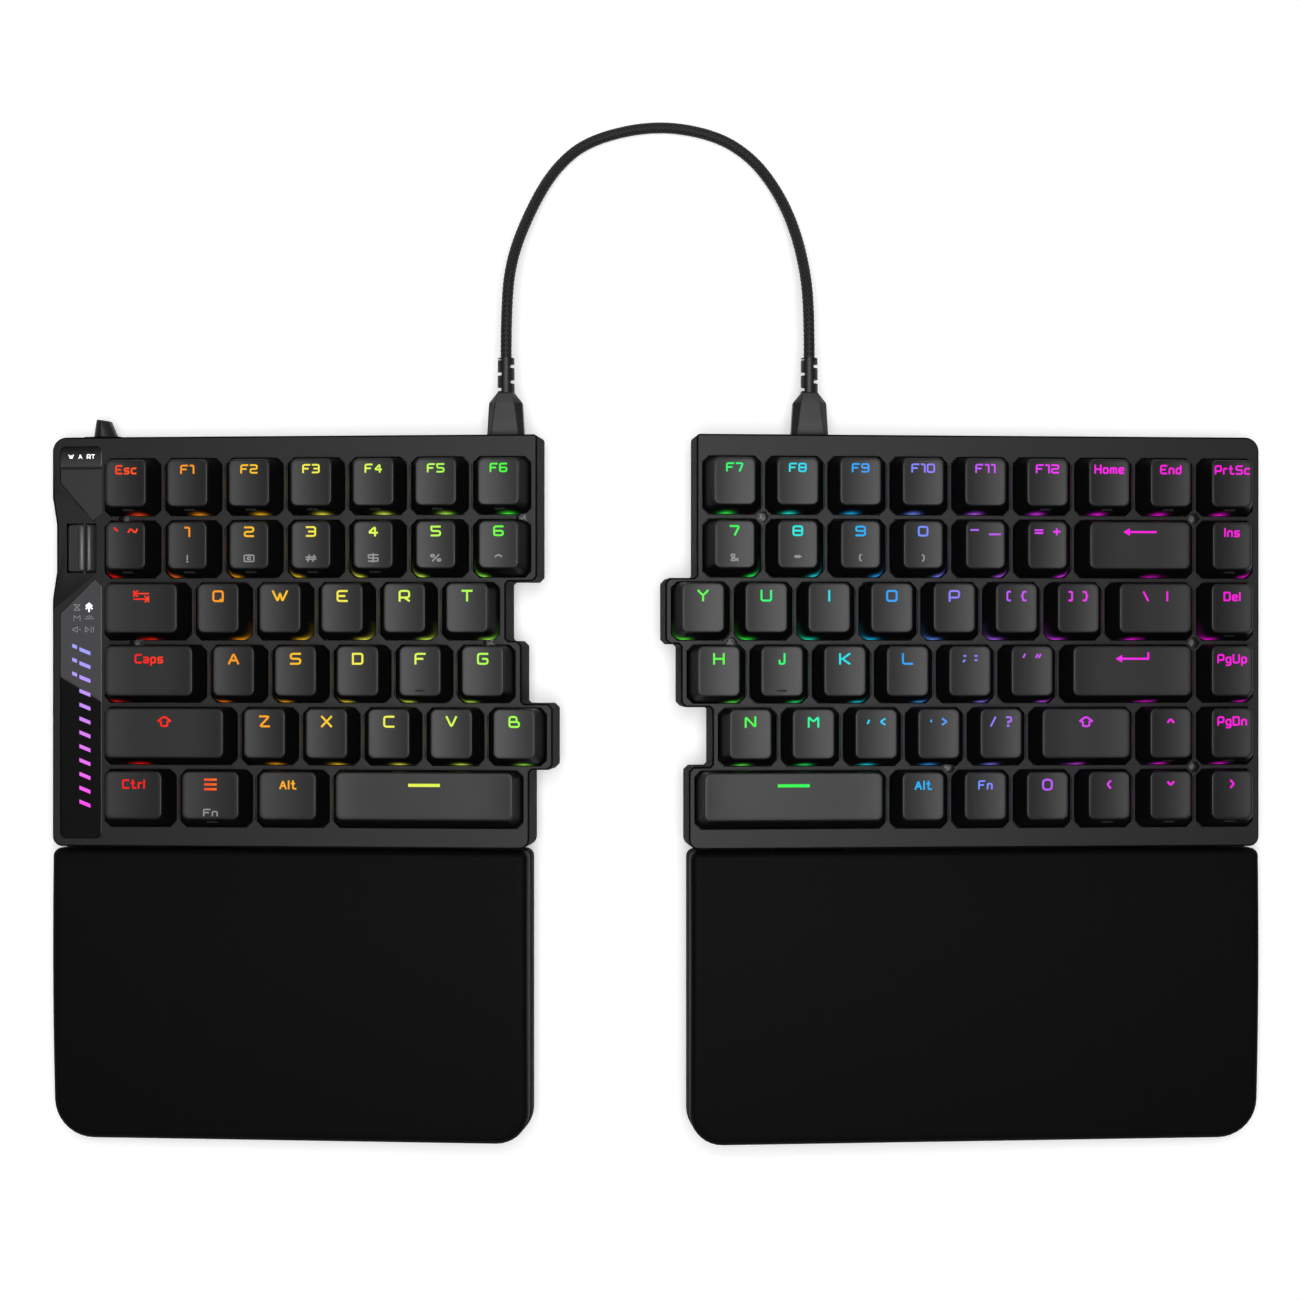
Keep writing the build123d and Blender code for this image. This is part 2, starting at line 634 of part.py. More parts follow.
def bottom_case(deck, case_face, face, inside, rows, screws, side, port_x, feet):
    """Bottom case: a tray with a seat for the frame, bosses, a leg recess, port and tongue slots."""
    inner = grown(inside, -(CASE_WALL - CASE_PROUD))
    x, y, width, length = leg_box(deck, side, CASE_LEG_CENTRE, LEG_WALL)
    recess_top = LEG_PIVOT_LIFT + LEG_KNUCKLE_RADIUS + LEG_GAP + LEG_ROOF
    with BuildPart() as case:
        with BuildSketch(deck.offset(BASE_LEVEL)):
            add(case_face)
        extrude(amount=CASE_DEPTH - CASE_RIM_DROP)
        chamfer(case.faces().sort_by(Axis(deck.origin, deck.z_dir))[0].edges(), CASE_CHAMFER)
        with BuildSketch(deck.offset(BASE_LEVEL + CASE_FLOOR)):
            add(inner)
        extrude(amount=CASE_DEPTH, mode=Mode.SUBTRACT)
        with BuildSketch(deck.offset(-FRAME_THICK)):
            add(grown(face, FRAME_CLEAR))
        extrude(amount=CASE_DEPTH, mode=Mode.SUBTRACT)
        with BuildSketch(deck.offset(BASE_LEVEL + CASE_FLOOR - FOOT_SUNK)):
            with Locations(*screw_places(screws)):
                RegularPolygon(BOSS_RADIUS, HEX_SIDES)
        extrude(amount=PLATE_LEVEL - PLATE_THICK - BASE_LEVEL - CASE_FLOOR + FOOT_SUNK)
        with BuildSketch(deck.offset(BASE_LEVEL + FOOT_SUNK * 2)):
            with Locations((x, y)):
                Rectangle(width, length)
        extrude(amount=recess_top - FOOT_SUNK * 2)
        with BuildSketch(deck.offset(PLATE_LEVEL - PLATE_THICK)):
            with Locations(*screw_places(screws)):
                RegularPolygon(SCREW_RADIUS + SCREW_GAP, HEX_SIDES)
        extrude(amount=-SCREW_LENGTH, mode=Mode.SUBTRACT)
        add(leg_room(deck, side, CASE_LEG_CENTRE), mode=Mode.SUBTRACT)
        add(foot_seats(deck, feet), mode=Mode.SUBTRACT)
        with BuildSketch(side_plane(deck, REAR_MARGIN - CASE_WALL)):
            with Locations((-port_x, BOARD_LEVEL + PORT_HEIGHT / 2)):
                Rectangle(PORT_WIDTH + PORT_CUT_GAP * 2, PORT_HEIGHT + PORT_CUT_GAP * 2)
        extrude(amount=CASE_WALL * 2, mode=Mode.SUBTRACT)
        with BuildSketch(side_plane(deck, front_y - CASE_PROUD - OVERRUN)):
            for place in tongue_places(rows):
                with Locations((-place, BASE_LEVEL + TONGUE_LIFT + TONGUE_THICK / 2)):
                    Rectangle(TONGUE_WIDTH + TONGUE_GAP * 2, TONGUE_THICK + TONGUE_GAP * 2)
        extrude(amount=CASE_WALL + OVERRUN * 2, mode=Mode.SUBTRACT)
        add(press_room(deck, rows), mode=Mode.SUBTRACT)
    return case.part


def sheet(deck, inside, screws, level, thick, hole, bays):
    """Flat inner sheet: the switch plate, the foam below it or the circuit board, with its bays."""
    with BuildPart() as layer:
        with BuildSketch(deck.offset(level)):
            add(grown(inside, -(CASE_WALL - CASE_PROUD + INNER_PLATE_GAP)))
            with Locations(*screw_places(screws)):
                RegularPolygon(hole, HEX_SIDES, mode=Mode.SUBTRACT)
            for x, y, width, depth in bays:
                with Locations((x, y)):
                    Rectangle(width, depth, mode=Mode.SUBTRACT)
        extrude(amount=-thick)
    return layer.part


# One switch housing and one stabiliser housing, standing on the switch plate
switch_pocket = STEM_SIZE + STEM_GAP * 2
stem_bottom = CAP_TOP_LEVEL - CAP_ROOF - CAP_DISH - STEM_LENGTH
pocket_bottom = stem_bottom - KEY_TRAVEL - STEM_BOTTOM_GAP


def housing(width, depth, top_share, top_height, pocket_width):
    """Switch or stabiliser housing above the plate, tapered and open for its stem."""
    with BuildPart() as body:
        with BuildSketch(Plane.XY.offset(PLATE_LEVEL)):
            Rectangle(width, depth)
        with BuildSketch(Plane.XY.offset(PLATE_LEVEL + top_height)):
            Rectangle(width * top_share, depth * top_share)
        loft(ruled=True)
        with BuildSketch(Plane.XY.offset(pocket_bottom)):
            Rectangle(pocket_width, switch_pocket)
        extrude(amount=top_height, mode=Mode.SUBTRACT)
    return body.part


switch_body = housing(
    SWITCH_SIZE, SWITCH_SIZE, SWITCH_TOP_SIZE / SWITCH_SIZE, SWITCH_TOP_HEIGHT, switch_pocket
)
stabiliser_body = housing(
    STABILISER_WIDTH,
    STABILISER_DEPTH,
    SWITCH_TOP_SIZE / SWITCH_SIZE,
    STABILISER_TOP_HEIGHT,
    STABILISER_POST_WIDTH + STEM_GAP * 2,
)


def switches(deck, rows):
    """All switch and stabiliser housings of a half."""
    places, pairs = [], []
    for index in range(ROW_COUNT):
        for x, y, units in cells_of(rows, index):
            places.append((x, y))
            if units >= STABILISER_FROM_UNITS:
                pairs.append((x - STABILISER_SPACING / 2, y))
                pairs.append((x + STABILISER_SPACING / 2, y))
    solids = [switch_body.moved(deck.location * Location((x, y, 0))) for x, y in places]
    solids += [stabiliser_body.moved(deck.location * Location((x, y, 0))) for x, y in pairs]
    return Compound([solid for body in solids for solid in body.solids()])


def keycap(units, row, side_inset):
    """One key cap with its walls, dished top and stem, centred on its cell."""
    base_width = units * KEY_PITCH - CAP_SIDE_GAP * 2
    base_depth = KEY_PITCH - CAP_SIDE_GAP * 2
    top_width = base_width - side_inset * 2
    rear, front = CAP_TOP_REAR_INSETS[row], CAP_TOP_FRONT_INSETS[row]
    top_depth = KEY_PITCH - rear - front
    shift = (front - rear) / 2
    base_level = CAP_TOP_LEVEL - CAP_HEIGHT
    ceiling = CAP_TOP_LEVEL - CAP_DISH - CAP_ROOF
    inner_share = (ceiling - base_level) / CAP_HEIGHT
    flat_width = top_width * CAP_FLAT_SHARE
    with BuildPart() as cap:
        with BuildSketch(Plane.XY.offset(base_level)):
            Rectangle(base_width, base_depth)
        with BuildSketch(Plane.XY.offset(CAP_TOP_LEVEL)):
            with Locations((0, shift)):
                Rectangle(top_width, top_depth)
        loft(ruled=True)
        with BuildSketch(Plane.XY.offset(base_level)) as base_plan:
            Rectangle(base_width, base_depth)
            chamfer(base_plan.vertices(), CAP_CORNER_CUT)
        extrude(amount=CAP_HEIGHT, mode=Mode.INTERSECT)
        with BuildSketch(Plane.XZ.offset(-KEY_PITCH)):
            with BuildLine():
                Polyline(
                    (-top_width / 2, CAP_TOP_LEVEL),
                    (-flat_width / 2, CAP_TOP_LEVEL - CAP_DISH),
                    (flat_width / 2, CAP_TOP_LEVEL - CAP_DISH),
                    (top_width / 2, CAP_TOP_LEVEL),
                    close=True,
                )
            make_face()
        extrude(amount=KEY_PITCH * 2, mode=Mode.SUBTRACT)
        with BuildSketch(Plane.XY.offset(base_level)):
            Rectangle(base_width - CAP_WALL * 2, base_depth - CAP_WALL * 2)
        with BuildSketch(Plane.XY.offset(ceiling)):
            with Locations((0, shift * inner_share)):
                Rectangle(
                    base_width - side_inset * 2 * inner_share - CAP_WALL * 2,
                    base_depth - (base_depth - top_depth) * inner_share - CAP_WALL * 2,
                )
        loft(ruled=True, mode=Mode.SUBTRACT)
        with BuildSketch(Plane.XY.offset(ceiling)):
            Rectangle(STEM_SIZE, STEM_SIZE)
            if units >= STABILISER_FROM_UNITS:
                with Locations((-STABILISER_SPACING / 2, 0), (STABILISER_SPACING / 2, 0)):
                    Rectangle(STABILISER_POST_WIDTH, STEM_SIZE)
        extrude(amount=-STEM_LENGTH)
    return cap.part


cap_stock = {}


def caps(deck, rows, row, picked):
    """The key caps of a row that are picked by their place in it."""
    solids = []
    for place, (x, y, units) in enumerate(cells_of(rows, row)):
        if place in picked:
            wide = units > STABILISER_FROM_UNITS + 1
            inset = SPACE_TOP_SIDE_INSET if wide else CAP_TOP_SIDE_INSETS[row]
            if (units, row) not in cap_stock:
                cap_stock[(units, row)] = keycap(units, row, inset)
            moved = cap_stock[(units, row)].moved(deck.location * Location((x, y, 0)))
            solids += moved.solids()
    return Compound(solids) if len(solids) > 1 else Part(solids[0].wrapped)


def case_screws(deck, screws):
    """Screws that clamp the switch plate on the bosses of the case."""
    with BuildPart() as group:
        with BuildSketch(deck.offset(PLATE_LEVEL)):
            with Locations(*screw_places(screws)):
                RegularPolygon(SCREW_HEAD_RADIUS, ROUND_SIDES)
        extrude(amount=SCREW_HEAD_HEIGHT)
        with BuildSketch(deck.offset(PLATE_LEVEL)):
            with Locations(*screw_places(screws)):
                RegularPolygon(SCREW_RADIUS, HEX_SIDES)
        extrude(amount=-SCREW_LENGTH)
    return group.part


def palm_outline(rows, side, gap):
    """Plan of a palm rest, its front corners rounder than its rear ones."""
    start, end = row_span(rows, ROW_COUNT - 1)
    if side < 0:
        low, high = left_outer_x - CASE_PROUD - PALM_OUTER_OVERHANG, end + PALM_INNER_OVERHANG
    else:
        low, high = start - PALM_INNER_OVERHANG, right_outer_x + CASE_PROUD + PALM_OUTER_OVERHANG
    rear = front_y - CASE_PROUD - PALM_GAP
    with BuildSketch() as plan:
        with Locations(((low + high) / 2, rear - PALM_LENGTH / 2)):
            Rectangle(high - low - gap * 2, PALM_LENGTH - gap * 2)
        fillet(plan.vertices().group_by(Axis.Y)[-1], PALM_REAR_RADIUS)
        front = plan.vertices().group_by(Axis.Y)[0].sort_by(lambda v: side * v.X)
        fillet(front[-1], PALM_FRONT_OUTER_RADIUS)
        front = plan.vertices().group_by(Axis.Y)[0].sort_by(lambda v: side * v.X)
        fillet(front[0], PALM_FRONT_INNER_RADIUS)
    return plan.sketch


def palm_base(deck, rows, side, feet):
    """Palm rest base: a rigid tray with two tongues, a leg recess and seats for its feet."""
    rear = front_y - CASE_PROUD - PALM_GAP
    with BuildPart() as base:
        with BuildSketch(deck.offset(BASE_LEVEL)):
            add(palm_outline(rows, side, 0))
        extrude(amount=PALM_BASE_THICK)
        with BuildSketch(side_plane(deck, rear - OVERRUN)):
            for place in tongue_places(rows):
                with Locations((-place, BASE_LEVEL + TONGUE_LIFT + TONGUE_THICK / 2)):
                    Rectangle(TONGUE_WIDTH, TONGUE_THICK)
        extrude(amount=TONGUE_LENGTH + OVERRUN)
        add(leg_room(deck, side, PALM_LEG_CENTRE), mode=Mode.SUBTRACT)
        add(foot_seats(deck, feet), mode=Mode.SUBTRACT)
    return base.part


def palm_pad(deck, rows, side):
    """Soft pad: crowned from front to rear, sides drawn in, top edge eased."""
    rear = front_y - CASE_PROUD - PALM_GAP
    crown_y = rear - PALM_LENGTH * PALM_CROWN_CENTRE_SHARE
    level = BASE_LEVEL + PALM_BASE_THICK
    height = -PALM_TOP_DROP - level
    span = LEFT_SPAN + RIGHT_SPAN
    with BuildPart() as pad:
        with BuildSketch(deck.offset(level)):
            add(palm_outline(rows, side, 0))
        extrude(amount=height + OVERRUN, taper=PALM_SIDE_TAPER)
        crown = deck.from_local_coords((-span, crown_y, 0))
        with BuildSketch(Plane(origin=crown, x_dir=deck.y_dir, z_dir=deck.x_dir)):
            with Locations((0, -PALM_TOP_DROP - PALM_CROWN_RADIUS)):
                Circle(PALM_CROWN_RADIUS)
        extrude(amount=span * 2, mode=Mode.INTERSECT)
        top = pad.faces().sort_by(Axis(deck.origin, deck.z_dir))[-1]
        chamfer(top.edges(), PALM_EDGE_CUT)
    return pad.part


def usb_port(deck, port_x):
    """Port shell on the circuit board, open to the rear."""
    rear = REAR_MARGIN + CASE_PROUD - PORT_RECESS
    with BuildPart() as port:
        with BuildSketch(side_plane(deck, rear - PORT_LENGTH)):
            with Locations((-port_x, BOARD_LEVEL + PORT_HEIGHT / 2)):
                Rectangle(PORT_WIDTH, PORT_HEIGHT)
        extrude(amount=PORT_LENGTH)
        with BuildSketch(side_plane(deck, rear)):
            with Locations((-port_x, BOARD_LEVEL + PORT_HEIGHT / 2)):
                Rectangle(PORT_WIDTH - PORT_WALL * 2, PORT_HEIGHT - PORT_WALL * 2)
        extrude(amount=-(PORT_LENGTH - PORT_WALL * 2), mode=Mode.SUBTRACT)
    return port.part


def plug(deck, port_x):
    """Plug: moulded body with shoulders and a flat metal shell that sits in the port."""
    start = REAR_MARGIN + CASE_PROUD + PLUG_BODY_GAP
    centre = BOARD_LEVEL + PORT_HEIGHT / 2
    with BuildPart() as body:
        with BuildSketch(deck.offset(centre - PLUG_HEIGHT / 2)):
            with BuildLine():
                Polyline(
                    (port_x - PLUG_WIDTH / 2, start),
                    (port_x + PLUG_WIDTH / 2, start),
                    (port_x + PLUG_SHOULDER_WIDTH / 2, start + PLUG_STRAIGHT),
                    (port_x + PLUG_NECK_WIDTH / 2, start + PLUG_LENGTH),
                    (port_x - PLUG_NECK_WIDTH / 2, start + PLUG_LENGTH),
                    (port_x - PLUG_SHOULDER_WIDTH / 2, start + PLUG_STRAIGHT),
                    close=True,
                )
            make_face()
        extrude(amount=PLUG_HEIGHT)
        along = body.edges().filter_by(lambda e: abs(e.tangent_at(1 / 2).dot(deck.y_dir)) > 1 / 2)
        chamfer(along, PLUG_CHAMFER)
        with BuildSketch(side_plane(deck, start - PLUG_BODY_GAP - PLUG_SHELL_LENGTH)):
            with Locations((-port_x, centre)):
                Rectangle(PLUG_SHELL_WIDTH, PLUG_SHELL_HEIGHT)
        extrude(amount=PLUG_SHELL_LENGTH + PLUG_BODY_GAP)
    return body.part


def strain_relief(deck, port_x):
    """Ribbed strain relief: a sleeve with slots cut from the two sides by turns."""
    start = REAR_MARGIN + CASE_PROUD + PLUG_BODY_GAP + PLUG_LENGTH
    centre = BOARD_LEVEL + PORT_HEIGHT / 2
    pitch = RELIEF_LENGTH / (RELIEF_SLOTS + 1)
    with BuildPart() as relief:
        with BuildSketch(side_plane(deck, start)):
            with Locations((-port_x, centre)):
                RegularPolygon(RELIEF_RADIUS, ROUND_SIDES, major_radius=False, rotation=HALF_SIDE)
        extrude(amount=RELIEF_LENGTH)
        for slot in range(RELIEF_SLOTS):
            hand = 1 if slot % 2 else -1
            level = start + (slot + 1 - RELIEF_SLOT_SHARE / 2) * pitch
            with BuildSketch(side_plane(deck, level)):
                with Locations((-port_x + hand * RELIEF_RADIUS, centre)):
                    Rectangle((RELIEF_RADIUS - RELIEF_CORE_RADIUS) * 2, RELIEF_RADIUS * 2)
            extrude(amount=pitch * RELIEF_SLOT_SHARE, mode=Mode.SUBTRACT)
    return relief.part


# Left half
left_top_frame = top_frame(left_deck, left_face, LEFT_ROWS, LEFT_SCREWS)
with BuildPart() as left_frame_work:
    add(left_top_frame)
    with BuildSketch(left_deck.offset(-INLAY_DEPTH)):
        add(window_sketch(INLAY_GAP))
        add(badge_sketch(INLAY_GAP))
        add(light_sketch(INLAY_GAP))
    extrude(amount=INLAY_DEPTH + OVERRUN, mode=Mode.SUBTRACT)
    with BuildSketch(left_deck.offset(-SCOOP_DEPTH)):
        with BuildLine():
            Polyline(
                (left_outer_x - OVERRUN, badge_rear - BADGE_OUTER_LENGTH - BADGE_GAP * 2),
                (wheel_x + WHEEL_RADIUS - WHEEL_GAP, wheel_y + WHEEL_LENGTH / 2 + BADGE_GAP * 2),
                (wheel_x + WHEEL_RADIUS - WHEEL_GAP, wheel_y - WHEEL_LENGTH / 2 - BADGE_GAP),
                (left_outer_x - OVERRUN, light_rear - LIGHT_SHOULDER + BADGE_GAP),
                close=True,
            )
        make_face()
    extrude(amount=SCOOP_DEPTH + OVERRUN, mode=Mode.SUBTRACT)
    for hand in (-1, 1):
        ear_y = wheel_y + hand * (WHEEL_LENGTH / 2 + WHEEL_GAP + EAR_THICK / 2)
        with BuildSketch(left_deck.offset(-FRAME_THICK + SCOOP_DEPTH)):
            with Locations((wheel_x, ear_y)):
                Rectangle(EAR_WIDTH, EAR_THICK)
        extrude(amount=-EAR_DROP - SCOOP_DEPTH)
    with BuildSketch(side_plane(left_deck, wheel_y - WHEEL_LENGTH / 2 - WHEEL_GAP)):
        with Locations((-wheel_x, wheel_z)):
            Circle(WHEEL_RADIUS + WHEEL_GAP)
    extrude(amount=WHEEL_LENGTH + WHEEL_GAP * 2, mode=Mode.SUBTRACT)
    bearing = WHEEL_LENGTH / 2 + WHEEL_GAP + EAR_THICK + OVERRUN
    with BuildSketch(side_plane(left_deck, wheel_y - bearing)):
        with Locations((-wheel_x, wheel_z)):
            Circle(AXLE_RADIUS + AXLE_CLEAR)
    extrude(amount=bearing * 2, mode=Mode.SUBTRACT)
left_top_frame = left_frame_work.part
left_top_frame.label = "left_top_frame"
export_step(left_top_frame, "parts/left_top_frame.step")

with BuildPart() as left_bottom_case:
    add(
        bottom_case(
            left_deck, left_case_face, left_face, left_inside, LEFT_ROWS, LEFT_SCREWS, -1, LEFT_PORT_X,
            left_outer_feet + left_inner_feet,
        )
    )
    lever_x = left_outer_x + LEVER_CENTRE_FROM_OUTER
    slider_x = left_outer_x + SLIDER_CENTRE_FROM_OUTER
    with BuildSketch(side_plane(left_deck, REAR_MARGIN + CASE_PROUD - WAIST_DEPTH)):
        with Locations((-lever_x, LEVER_LEVEL)):
            Rectangle(LEVER_BEZEL_WIDTH, LEVER_BEZEL_HEIGHT)
    extrude(amount=WAIST_DEPTH + LEVER_BEZEL_PROUD)
    lever_slot = LEVER_STEM_WIDTH + (LEVER_TRAVEL + LEVER_GAP) * 2
    slider_slot = SLIDER_WIDTH + (SLIDER_TRAVEL + SLIDER_GAP) * 2
    with BuildSketch(side_plane(left_deck, REAR_MARGIN - CASE_WALL)):
        with Locations((-lever_x, LEVER_LEVEL)):
            Rectangle(lever_slot, LEVER_STEM_HEIGHT + LEVER_GAP * 2)
        with Locations((-slider_x, LEVER_LEVEL)):
            Rectangle(slider_slot, SLIDER_HEIGHT + SLIDER_GAP * 2)
    extrude(amount=CASE_WALL * 2, mode=Mode.SUBTRACT)
left_bottom_case.part.label = "left_bottom_case"
export_step(left_bottom_case.part, "parts/left_bottom_case.step")

with BuildPart() as indicator_window:
    with BuildSketch(left_deck.offset(-INLAY_DEPTH)):
        add(window_sketch(0))
    extrude(amount=INLAY_THICK)
indicator_window.part.label = "indicator_window"
export_step(indicator_window.part, "parts/indicator_window.step")

with BuildPart() as badge_plate:
    with BuildSketch(left_deck.offset(-INLAY_DEPTH)):
        add(badge_sketch(0))
    extrude(amount=INLAY_THICK - INLAY_GAP)
badge_plate.part.label = "badge_plate"
export_step(badge_plate.part, "parts/badge_plate.step")

with BuildPart() as light_strip:
    with BuildSketch(left_deck.offset(-INLAY_DEPTH)):
        add(light_sketch(0))
    extrude(amount=INLAY_THICK)
light_strip.part.label = "light_strip"
export_step(light_strip.part, "parts/light_strip.step")

with BuildPart() as control_wheel:
    with BuildSketch(side_plane(left_deck, wheel_y - WHEEL_LENGTH / 2)):
        with BuildLine():
            corners = []
            for rib in range(WHEEL_RIBS * 2):
                angle = pi * rib / WHEEL_RIBS
                radius = WHEEL_RADIUS - (WHEEL_RIB_DEPTH if rib % 2 else 0)
                corners.append((radius * cos(angle) - wheel_x, radius * sin(angle) + wheel_z))
            Polyline(*corners, close=True)
        make_face()
    extrude(amount=WHEEL_LENGTH)
    with BuildSketch(side_plane(left_deck, wheel_y - WHEEL_LENGTH / 2 - AXLE_LENGTH)):
        with Locations((-wheel_x, wheel_z)):
            RegularPolygon(AXLE_RADIUS, ROUND_SIDES)
    extrude(amount=WHEEL_LENGTH + AXLE_LENGTH * 2)
control_wheel.part.label = "control_wheel"
export_step(control_wheel.part, "parts/control_wheel.step")

lever_seat = REAR_MARGIN + CASE_PROUD + LEVER_BEZEL_PROUD + LEVER_GAP
lever_tip = lever_seat + LEVER_PROUD - LEVER_TIP_SHIFT
tip_x = lever_x - LEVER_TIP_SHIFT
with BuildPart() as mode_lever:
    with BuildSketch(left_deck.offset(LEVER_LEVEL - LEVER_HEIGHT / 2)):
        with BuildLine():
            Polyline(
                (lever_x - LEVER_BASE_WIDTH / 2, lever_seat),
                (lever_x + LEVER_BASE_WIDTH / 2, lever_seat),
                (tip_x + LEVER_TIP_WIDTH / 2, lever_tip - LEVER_TIP_SHIFT),
                (tip_x - LEVER_TIP_WIDTH / 2, lever_tip),
                close=True,
            )
        make_face()
    extrude(amount=LEVER_HEIGHT)
    with BuildSketch(side_plane(left_deck, lever_seat - LEVER_STEM_LENGTH)):
        with Locations((-lever_x, LEVER_LEVEL)):
            Rectangle(LEVER_STEM_WIDTH, LEVER_STEM_HEIGHT)
    extrude(amount=LEVER_STEM_LENGTH)
mode_lever.part.label = "mode_lever"
export_step(mode_lever.part, "parts/mode_lever.step")

with BuildPart() as connection_slider:
    with BuildSketch(side_plane(left_deck, REAR_MARGIN + CASE_PROUD + SLIDER_PROUD)):
        with Locations((-slider_x, LEVER_LEVEL)):
            Rectangle(SLIDER_WIDTH, SLIDER_HEIGHT)
    extrude(amount=-SLIDER_STEM_LENGTH)
connection_slider.part.label = "connection_slider"
export_step(connection_slider.part, "parts/connection_slider.step")

with BuildPart() as battery:
    with BuildSketch(left_deck.offset(BASE_LEVEL + CASE_FLOOR)):
        with Locations((BATTERY_X, -BATTERY_FROM_REAR)):
            Rectangle(BATTERY_LENGTH, BATTERY_WIDTH)
    extrude(amount=BATTERY_THICK)
    upright = battery.edges().filter_by(lambda e: abs(e.tangent_at(1 / 2).dot(left_deck.z_dir)) > 1 / 2)
    chamfer(upright, BATTERY_RADIUS)
battery.part.label = "battery"
export_step(battery.part, "parts/battery.step")

# Pieces that both halves share
halves = [
    ("left", left_deck, left_inside, LEFT_ROWS, LEFT_SCREWS, -1, LEFT_PORT_X),
    ("right", right_deck, right_inside, RIGHT_ROWS, RIGHT_SCREWS, 1, RIGHT_PORT_X),
]
outer_feet = {"left": left_outer_feet, "right": right_outer_feet}
inner_feet = {"left": left_inner_feet, "right": right_inner_feet}
palm_feet = {"left": left_palm_feet, "right": right_palm_feet}
pieces = {}
bay_reach = (wheel_x + WHEEL_RADIUS + BAY_GAP - left_outer_x) * 2
wheel_bay = (left_outer_x, wheel_y, bay_reach, WHEEL_LENGTH + (WHEEL_GAP + EAR_THICK + BAY_GAP) * 2)
for name, deck, face, rows, screws, side, port_x in halves:
    wheel_bays = [wheel_bay] if name == "left" else []
    port_bay = (port_x, REAR_MARGIN, PORT_WIDTH + BAY_GAP * 2, (PORT_LENGTH + BAY_GAP) * 2)
    boss_hole = BOSS_RADIUS + BOSS_GAP
    pieces[name + "_switch_plate"] = sheet(
        deck, face, screws, PLATE_LEVEL, PLATE_THICK, SCREW_RADIUS + SCREW_GAP, wheel_bays
    )
    pieces[name + "_plate_foam"] = sheet(
        deck, face, screws, FOAM_LEVEL, FOAM_THICK, boss_hole, wheel_bays + [port_bay]
    )
    pieces[name + "_circuit_board"] = sheet(deck, face, screws, BOARD_LEVEL, BOARD_THICK, boss_hole, [])
    pieces[name + "_switches"] = switches(deck, rows)
    pieces[name + "_case_screws"] = case_screws(deck, screws)
    pieces[name + "_plug"] = plug(deck, port_x)
    pieces[name + "_strain_relief"] = strain_relief(deck, port_x)
    pieces[name + "_rubber_feet"] = rubber_feet(deck, outer_feet[name], inner_feet[name])
    pieces[name + "_tenting_leg"] = tenting_leg(deck, side, CASE_LEG_CENTRE)
    pieces[name + "_palm_leg"] = tenting_leg(deck, side, PALM_LEG_CENTRE)
    pieces[name + "_palm_base"] = palm_base(deck, rows, side, palm_feet[name])
    pieces[name + "_palm_pad"] = palm_pad(deck, rows, side)
    pieces[name + "_palm_feet"] = rubber_feet(deck, palm_feet[name], [])
pieces["usb_ports"] = Compound(
    children=[usb_port(left_deck, LEFT_PORT_X), usb_port(right_deck, RIGHT_PORT_X)]
)
pieces["right_top_frame"] = top_frame(right_deck, right_face, RIGHT_ROWS, RIGHT_SCREWS)
pieces["right_bottom_case"] = bottom_case(
    right_deck, right_case_face, right_face, right_inside, RIGHT_ROWS, RIGHT_SCREWS, 1, RIGHT_PORT_X,
    right_outer_feet + right_inner_feet,
)

# Key caps by node: half, row and the places in the row
KEY_NODES = {
    "left_function_keys": (left_deck, LEFT_ROWS, 0, range(7)),
    "left_number_keys": (left_deck, LEFT_ROWS, 1, range(7)),
    "tab_key": (left_deck, LEFT_ROWS, 2, [0]),
    "left_upper_letter_keys": (left_deck, LEFT_ROWS, 2, range(1, 6)),
    "caps_lock_key": (left_deck, LEFT_ROWS, 3, [0]),
    "left_home_row_keys": (left_deck, LEFT_ROWS, 3, range(1, 6)),
    "left_shift_key": (left_deck, LEFT_ROWS, 4, [0]),
    "left_lower_letter_keys": (left_deck, LEFT_ROWS, 4, range(1, 6)),
    "left_modifier_keys": (left_deck, LEFT_ROWS, 5, range(3)),
    "left_space_key": (left_deck, LEFT_ROWS, 5, [3]),
    "right_function_keys": (right_deck, RIGHT_ROWS, 0, range(9)),
    "right_number_keys": (right_deck, RIGHT_ROWS, 1, [0, 1, 2, 3, 4, 5, 7]),
    "backspace_key": (right_deck, RIGHT_ROWS, 1, [6]),
    "right_upper_letter_keys": (right_deck, RIGHT_ROWS, 2, [0, 1, 2, 3, 4, 5, 6, 8]),
    "backslash_key": (right_deck, RIGHT_ROWS, 2, [7]),
    "right_home_row_keys": (right_deck, RIGHT_ROWS, 3, [0, 1, 2, 3, 4, 5, 7]),
    "enter_key": (right_deck, RIGHT_ROWS, 3, [6]),
    "right_lower_letter_keys": (right_deck, RIGHT_ROWS, 4, [0, 1, 2, 3, 4, 6, 7]),
    "right_shift_key": (right_deck, RIGHT_ROWS, 4, [5]),
    "right_space_key": (right_deck, RIGHT_ROWS, 5, [0]),
    "right_modifier_keys": (right_deck, RIGHT_ROWS, 5, range(1, 7)),
}
for name, (deck, rows, row, picked) in KEY_NODES.items():
    pieces[name] = caps(deck, rows, row, list(picked))

for name, piece in pieces.items():
    piece.label = name
    export_step(piece, "parts/" + name + ".step")

